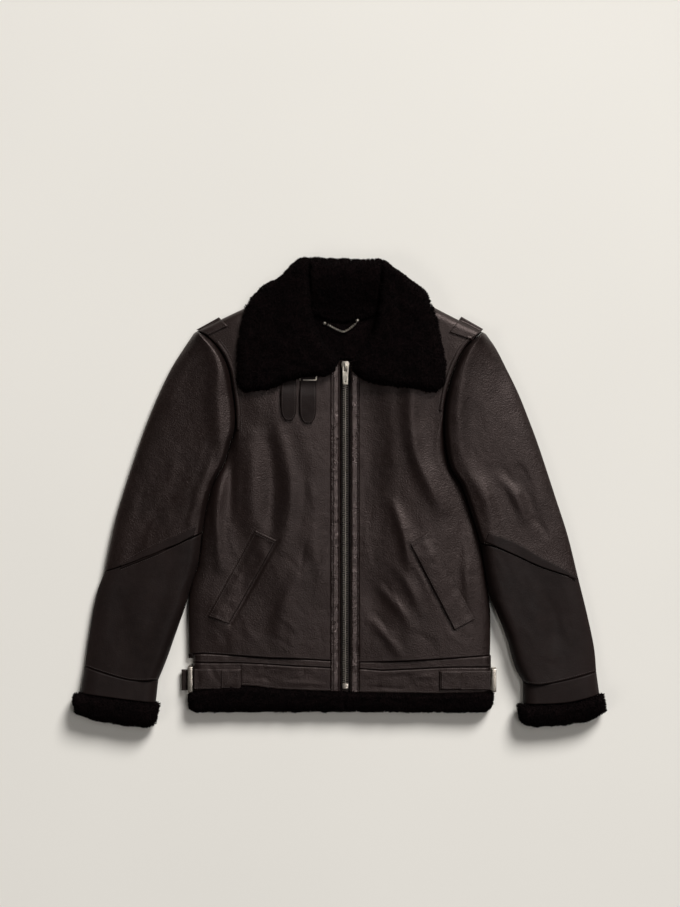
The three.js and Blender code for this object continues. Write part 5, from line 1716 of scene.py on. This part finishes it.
def make_collar_straps():
    """The two strap ends below the left fall, and the frame that one passes through."""
    for name, (left, right, end) in COLLAR_STRAPS.items():
        nose = (right - left) / 2
        plan = patch(
            curve([(left + nose / 2, end), (left, end + nose), (left, COLLAR_STRAP_TOP)]),
            curve([(right - nose / 2, end), (right, end + nose), (right, COLLAR_STRAP_TOP)]),
            curve([(left + nose / 2, end), (right - nose / 2, end)]),
            curve([(left, COLLAR_STRAP_TOP), (right, COLLAR_STRAP_TOP)]))
        strap = laid_strip(f"{name}_leather", plan, STRAP_THICK, ["front_left_leather"],
                           edge=1.3, step=1.8,
                           relief=lambda x, y: 0.35 * rumple(x, y, 11, 101),
                           lift=lambda x, y, end=end: strap_lift(y - end))
        dress(strap, "matt_leather", "leather", name)
        inset = 2.4
        line = curve([(left + inset, COLLAR_STRAP_TOP - 16), (left + inset, end + nose),
                      (left + nose * 0.62, end + inset + 0.6),
                      (right - nose * 0.62, end + inset + 0.6),
                      (right - inset, end + nose), (right - inset, COLLAR_STRAP_TOP - 16)])
        stitch(line, [strap.name], samples=120)
    b = STRAP_BUCKLE
    wire = b["wire"]
    ring = metal_piece("collar_strap_buckle_metal", [outline_plate(
        [rounded_box(b["left"], b["right"], b["low"], b["high"], 2.0),
         rounded_box(b["left"] + wire, b["right"] - wire, b["low"] + wire, b["high"] - wire, 1.0)],
        b["z"], b["z"] + 2.2, 0.6)])
    dress(ring, "worn_nickel", "metal", "collar_strap_buckle")


def link_master(pitch):
    """A wide link that leans across the chain, and the narrow one that joins it to the next."""
    turns = np.linspace(0, 2 * math.pi, 14, endpoint=False)
    lean = math.radians(66)
    tall = 0.42 * pitch * np.cos(turns)
    across = np.column_stack([tall * math.cos(lean), 0.62 * pitch * np.sin(turns),
                              tall * math.sin(lean)])
    along = np.column_stack([pitch * (0.5 + 0.64 * np.cos(turns)), 0 * turns,
                             0.24 * pitch * np.sin(turns)])
    wide, wide_faces = tube_ring(across, pitch * 0.14, sides=6)
    thin, thin_faces = tube_ring(along, pitch * 0.09, sides=6)
    faces = wide_faces + [tuple(k + len(wide) for k in face) for face in thin_faces]
    return master("link", np.vstack([wide, thin]), faces)


def make_hanger():
    """Chain at the neck seam for hanging the jacket, and the studs that hold its ends."""
    sizes = bpy.context.scene.jacket_sizes
    seats = ["neck_fleece_pelt", "collar_back_pelt"]
    low, high = (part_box("hanger_chain")[k].z / MM for k in (0, 1))
    plan = curve(CHAIN)(np.linspace(0, 1, 40))
    z = ground(seats, plan[:, 0], plan[:, 1], BODY_TOP) + 3.0
    line = np.column_stack([plan, np.clip(z, low + 1.6, high + 1.0)])
    chain = grow("hanger_chain_metal", wire_mesh("chain", [line]), row_tree(),
                 {"Piece": link_master(sizes.link_pitch), "Pitch": sizes.link_pitch,
                  "Scatter": 0.08, "Material": materials["worn_nickel"]()})
    dress(chain, "worn_nickel", "metal", "hanger_chain")
    for name in CHAIN_STUDS:
        low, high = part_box(name)
        x, y = ((low + high) / 2 / MM)[:2]
        foot, tall = low.z / MM, (high.z - low.z) / MM
        profile = [(2.5, 0), (2.9, tall * 0.25), (2.9, tall * 0.6), (2.3, tall * 0.85),
                   (1.5, tall + 0.5), (0.5, tall + 0.8)]
        stud = metal_piece(f"{name}_metal",
                           [turned_shape(profile, x - SHIFT[0], y - SHIFT[1], foot)])
        dress(stud, "worn_nickel", "metal", name)


# Pieces on the fronts
def inset_line(corners, inset, closed=True):
    """The outline of a four-sided piece, moved in."""
    c = np.asarray(corners, float)
    out = []
    for k in range(4):
        before, here, after = c[k - 1], c[k], c[(k + 1) % 4]
        a = (before - here) / np.linalg.norm(before - here)
        b = (after - here) / np.linalg.norm(after - here)
        sine = abs(a[0] * b[1] - a[1] * b[0])
        out.append(here + (a + b) * inset / sine)
    if closed:
        out.append(out[0])
    return [tuple(p) for p in out]


def straight(a, b):
    return curve([tuple(a), tuple(b)])


def pocket_rise(side, x, y):
    """The welt stands up at its opening, on its long edge nearer the zip, and lies low opposite."""
    a, b, _, d = (np.array(p, float) for p in POCKET[side])
    long = np.linalg.norm(d - a)
    way = (d - a) / long
    wide = np.linalg.norm((b - a) - way * np.dot(b - a, way))
    off = np.abs((x - a[0]) * way[1] - (y - a[1]) * way[0]) / wide
    along = (x - a[0]) * way[0] + (y - a[1]) * way[1]
    end = np.minimum(along, long - along)
    bar = 0.9 * (1 - smoothstep(end, 4.8, 6.8)) - 0.7 * np.exp(-(((end - 3.7) / 1.1) ** 2))
    return -1.8 + 1.8 * smoothstep(off, 0.0, 0.4) + bar


def make_pockets():
    """Slanted welts, stitched double across both ends and once along the sides."""
    for side in SIDES:
        corners = POCKET[side]

        def relief(x, y, side=side):
            return pocket_rise(side, x, y) + 0.5 * rumple(x, y, 30, 111) + 0.3 * rumple(x, y, 10, 112)

        welt = laid_strip(
            f"pocket_welt_{side}_leather", quad(corners), WELT_THICK, [f"front_{side}_leather"],
            edge=1.5, step=2.0, relief=relief,
        )
        dress(welt, "waxed_leather", "leather", f"pocket_welt_{side}")
        for inset in (2.2, 5.4):
            a, b, c, d = inset_line(corners, inset, closed=False)
            stitch(straight(a, b), [welt.name], samples=14)
            stitch(straight(c, d), [welt.name], samples=14)
        a, b, c, d = inset_line(corners, 2.4, closed=False)
        stitch(straight(b, c), [welt.name], samples=50)
        stitch(straight(d, a), [welt.name], samples=50)
        wide = inset_line(corners, -2.6, closed=False)
        run = (wide[3], wide[0]) if side == "left" else (wide[1], wide[2])
        stitch(straight(*run), [f"front_{side}_leather"], samples=60)


def make_shoulders():
    """Raised armhole seams and the small tabs across the shoulders."""
    for side in SIDES:
        front, top = f"front_{side}_leather", f"sleeve_top_{side}_leather"
        way = SIGN[side]
        armhole = [p for p in SIDE[side] if UNDERARM_Y - 5 < p[1] < 252]
        line = moved(armhole, way * 6)
        welt = laid_strip(f"armhole_welt_{side}_leather", ribbon(line, 5), TAPE_THICK, [front],
                          edge=1.2, step=1.6)
        dress(welt, "waxed_leather", "leather", f"armhole_welt_{side}")
        stitch(curve(line), [welt.name], samples=110)
        stitch(curve(moved(armhole, way * 11)), [front], samples=110)
        tab = laid_strip(f"shoulder_tab_{side}_leather", quad(SHOULDER_TAB[side]), STRAP_THICK,
                         [front, top, welt.name], edge=1.4, step=1.8)
        dress(tab, "waxed_leather", "leather", f"shoulder_tab_{side}")
        stitch(paced(inset_line(SHOULDER_TAB[side], 2.4)), [tab.name], samples=110)


def make_adjusters():
    """Side straps with their stitched patches, metal frames and the leather tab at the left."""
    for side in SIDES:
        s = SIDE_STRAP[side]
        corners = [(s["x0"], s["low"]), (s["x0"], s["high"]), (s["x1"], s["high"]),
                   (s["x1"], s["low"])]
        strap = laid_strip(f"side_strap_{side}_leather", quad(corners), STRAP_THICK,
                           [f"waistband_{side}_leather"], fall=BAND_TOP - 0.5, edge=1.4,
                           step=2.0, relief=lambda x, y: 0.3 * rumple(x, y, 14, 121))
        dress(strap, "waxed_leather", "leather", f"side_strap_{side}")
        stitch(paced(inset_line(corners, 2.3)), [strap.name], samples=170)
        p0, p1 = STRAP_PATCH[side]
        low, high = s["low"] + 1.5, s["high"] - 1.5
        square = [(p0, low), (p0, high), (p1, high), (p1, low)]
        sewn = laid_strip(f"strap_patch_{side}_leather", quad(square), PATCH_THICK, [strap.name],
                          edge=1.2, step=2.0)
        dress(sewn, "waxed_leather", "leather", f"strap_patch_{side}")
        a, b, c, d = inset_line(square, 2.2, closed=False)
        stitch(paced([a, b, c, d, a]), [sewn.name], samples=90)
        stitch(straight(a, c), [sewn.name], samples=30)
        ring = metal_piece(f"side_buckle_{side}_metal", [buckle_part(BUCKLE[side])])
        dress(ring, "worn_nickel", "metal", f"side_buckle_{side}")
    make_side_tab()


def buckle_part(place):
    """A flat bar bent to a standing frame, through which the side strap passes."""
    f = BUCKLE_FRAME
    low, high, wire = place["low"], place["high"], f["wire"]
    loops = [rounded_box(low, high, 0, f["tall"], 3.0),
             rounded_box(low + wire, high - wire, wire, f["tall"] - wire, 1.2)]
    points, faces = outline_plate(loops, -f["across"] / 2, f["across"] / 2, 0.7)
    placed = np.column_stack([place["x"] + points[:, 2], points[:, 0], f["foot"] + points[:, 1]])
    return placed, faces


def make_side_tab():
    b = BUCKLE["left"]
    middle = b["x"] - BUCKLE_FRAME["across"] / 2 - SEAM - SIDE_TAB["width"] / 2
    half = SIDE_TAB["width"] / 2
    plan = rectangle(middle - half, middle + half, b["low"] + SIDE_TAB["in"],
                     b["high"] - 2 * SIDE_TAB["in"])
    tab = pillow("side_tab_left_leather", plan, (1.6, 1.6, 1.6, 1.6), flat(SIDE_TAB["low"]),
                 lambda x, y, _u: SIDE_TAB["high"] + 0.3 * rumple(x, y, 8, 131), rim=0.5,
                 step=1.4, keep=3)
    dress(tab, "waxed_leather", "leather", "side_tab_left")


def make_stitches():
    """Thread of every seam that shows."""
    sizes = bpy.context.scene.jacket_sizes
    grain = bead("stitch", sizes.stitch_length, sizes.thread, sizes.thread)
    thread = grow("seam_stitches", wire_mesh("seams", stitch_lines), row_tree(),
                  {"Piece": grain, "Pitch": sizes.stitch_pitch, "Scatter": 0.08, "Seed": 7,
                   "Material": materials["waxed_thread"]()})
    dress(thread, "waxed_thread", "leather")


# Stage
PHOTO_HEIGHT = 907               # pixels
SCALE = 1.6                      # millimetres to a pixel of the photograph
MIDDLE = (3.2, 66.4)             # pattern point in the middle of the photograph
TABLE = {"half": 6.0, "z": -0.0004}  # metres
LENS = 100.0
SENSOR = 36.0


def make_camera():
    data = bpy.data.cameras.new("camera")
    data.lens = LENS
    data.sensor_width = SENSOR
    data.clip_end = 30.0
    camera = bpy.data.objects.new("camera", data)
    far = PHOTO_HEIGHT * SCALE * MM * LENS / SENSOR
    x, y = (np.array(MIDDLE) + SHIFT) * MM
    camera.location = (x, y, far + BODY_TOP * MM)
    bpy.context.scene.collection.objects.link(camera)
    bpy.context.scene.camera = camera


def make_table():
    half, z = TABLE["half"], TABLE["z"]
    corners = [(-half, -half, z), (half, -half, z), (half, half, z), (-half, half, z)]
    mesh = bpy.data.meshes.new("table")
    mesh.from_pydata(corners, [], [(0, 1, 2, 3)])
    table = bpy.data.objects.new("table", mesh)
    table.data.materials.append(materials["pale_table"]())
    bpy.context.scene.collection.objects.link(table)


LIGHTS = {
    "key": {"at": (5.2, 9.8, 9.0), "size": (5.6, 5.6), "power": 2420,
            "colour": (1.0, 0.985, 0.965)},
    "strip": {"at": (1.8, 0.25, 7.5), "size": (4.6, 0.9), "power": 88,
              "colour": (1.0, 0.98, 0.97)},
    "fill": {"at": (-5.8, -3.4, 7.6), "size": (4.0, 4.0), "power": 90,
             "colour": (1.0, 0.95, 0.88)},
}
ROOM_GLOW = 0.045
ROOM_COLOUR = (1.0, 0.985, 0.955, 1.0)


def make_lights():
    """A soft lamp from the upper right, a strip above, and a weak one that adds no gloss."""
    for name, light in LIGHTS.items():
        data = bpy.data.lights.new(name, "AREA")
        data.shape = "ELLIPSE"
        data.size, data.size_y = light["size"]
        data.energy = light["power"]
        data.color = light["colour"]
        lamp = bpy.data.objects.new(name, data)
        lamp.location = light["at"]
        lamp.rotation_euler = (-Vector(light["at"])).to_track_quat("-Z", "Y").to_euler()
        lamp.visible_glossy = name != "fill"
        bpy.context.scene.collection.objects.link(lamp)
    world = bpy.data.worlds.new("room")
    world.use_nodes = True
    glow = world.node_tree.nodes["Background"]
    constants(glow, {"Color": ROOM_COLOUR, "Strength": ROOM_GLOW})
    bpy.context.scene.world = world
    bpy.context.scene.view_settings.view_transform = "Standard"


def make_stage():
    """Camera straight above, pale table and soft studio light."""
    make_camera()
    make_table()
    make_lights()


# Operators, in the order in which the jacket is made
class JACKET_OT_stage(bpy.types.Operator):
    """Set up the camera straight above, the pale table and the lamps"""

    bl_idname = "jacket.stage"
    bl_label = "Stage"

    def execute(self, context):
        make_stage()
        return {"FINISHED"}


class JACKET_OT_body(bpy.types.Operator):
    """Sew the back, the two fronts and the plackets along the zip"""

    bl_idname = "jacket.body"
    bl_label = "Body"

    def execute(self, context):
        make_body()
        return {"FINISHED"}


class JACKET_OT_waist(bpy.types.Operator):
    """Sew the seam tape, the waistband and the band across the back"""

    bl_idname = "jacket.waist"
    bl_label = "Waist"

    def execute(self, context):
        make_waist()
        return {"FINISHED"}


class JACKET_OT_hem(bpy.types.Operator):
    """Grow the fur below the waistband"""

    bl_idname = "jacket.hem"
    bl_label = "Hem fur"

    def execute(self, context):
        make_hem()
        return {"FINISHED"}


class JACKET_OT_sleeves(bpy.types.Operator):
    """Sew the upper sleeves, the forearms and the elbow tape"""

    bl_idname = "jacket.sleeves"
    bl_label = "Sleeves"

    def execute(self, context):
        make_sleeves()
        return {"FINISHED"}


class JACKET_OT_cuffs(bpy.types.Operator):
    """Sew the cuff bands and grow the cuff fur"""

    bl_idname = "jacket.cuffs"
    bl_label = "Cuffs"

    def execute(self, context):
        make_cuffs()
        return {"FINISHED"}


class JACKET_OT_collar(bpy.types.Operator):
    """Grow the two falls, the standing collar and the fleece inside the neck"""

    bl_idname = "jacket.collar"
    bl_label = "Collar"

    def execute(self, context):
        make_collar()
        return {"FINISHED"}


class JACKET_OT_zip(bpy.types.Operator):
    """Make the teeth, the bottom stop, the slider and the pull tab"""

    bl_idname = "jacket.zip"
    bl_label = "Zip"

    def execute(self, context):
        make_zip()
        return {"FINISHED"}


class JACKET_OT_collar_straps(bpy.types.Operator):
    """Sew the two strap ends below the collar, with their metal frame"""

    bl_idname = "jacket.collar_straps"
    bl_label = "Collar straps"

    def execute(self, context):
        make_collar_straps()
        return {"FINISHED"}


class JACKET_OT_hanger(bpy.types.Operator):
    """Make the hanger chain at the neck and its studs"""

    bl_idname = "jacket.hanger"
    bl_label = "Hanger chain"

    def execute(self, context):
        make_hanger()
        return {"FINISHED"}


class JACKET_OT_pockets(bpy.types.Operator):
    """Sew the slanted pocket welts"""

    bl_idname = "jacket.pockets"
    bl_label = "Pockets"

    def execute(self, context):
        make_pockets()
        return {"FINISHED"}


class JACKET_OT_shoulders(bpy.types.Operator):
    """Sew the raised armhole seams and the shoulder tabs"""

    bl_idname = "jacket.shoulders"
    bl_label = "Shoulders"

    def execute(self, context):
        make_shoulders()
        return {"FINISHED"}


class JACKET_OT_adjusters(bpy.types.Operator):
    """Make the side straps, their patches, frames and the leather tab"""

    bl_idname = "jacket.adjusters"
    bl_label = "Side straps"

    def execute(self, context):
        make_adjusters()
        return {"FINISHED"}


class JACKET_OT_stitches(bpy.types.Operator):
    """Lay the thread of every seam, once its leather is there"""

    bl_idname = "jacket.stitches"
    bl_label = "Stitches"

    def execute(self, context):
        make_stitches()
        return {"FINISHED"}


STEPS = (
    JACKET_OT_stage, JACKET_OT_body, JACKET_OT_waist, JACKET_OT_hem, JACKET_OT_sleeves,
    JACKET_OT_cuffs, JACKET_OT_collar, JACKET_OT_zip, JACKET_OT_collar_straps, JACKET_OT_hanger,
    JACKET_OT_pockets, JACKET_OT_shoulders, JACKET_OT_adjusters, JACKET_OT_stitches,
)


class JACKET_PT_sidebar(bpy.types.Panel):
    """Steps of the jacket, with its sizes and colours"""

    bl_idname = "JACKET_PT_sidebar"
    bl_label = "Shearling jacket"
    bl_space_type = "VIEW_3D"
    bl_region_type = "UI"
    bl_category = "Jacket"

    def draw(self, context):
        steps = self.layout.column(align=True)
        for step in STEPS:
            steps.operator(step.bl_idname)
        for group in (context.scene.jacket_sizes, context.scene.jacket_colours):
            box = self.layout.box()
            for name in type(group).__annotations__:
                box.prop(group, name)


CLASSES = (JacketSizes, JacketColours, *STEPS, JACKET_PT_sidebar)


def register():
    for kind in CLASSES:
        bpy.utils.register_class(kind)
    bpy.types.Scene.jacket_sizes = bpy.props.PointerProperty(type=JacketSizes)
    bpy.types.Scene.jacket_colours = bpy.props.PointerProperty(type=JacketColours)


def unregister():
    del bpy.types.Scene.jacket_colours
    del bpy.types.Scene.jacket_sizes
    for kind in reversed(CLASSES):
        bpy.utils.unregister_class(kind)


def main():
    register()
    for step in STEPS:
        getattr(bpy.ops.jacket, step.bl_idname.split(".")[1])()


if __name__ == "__main__":
    main()
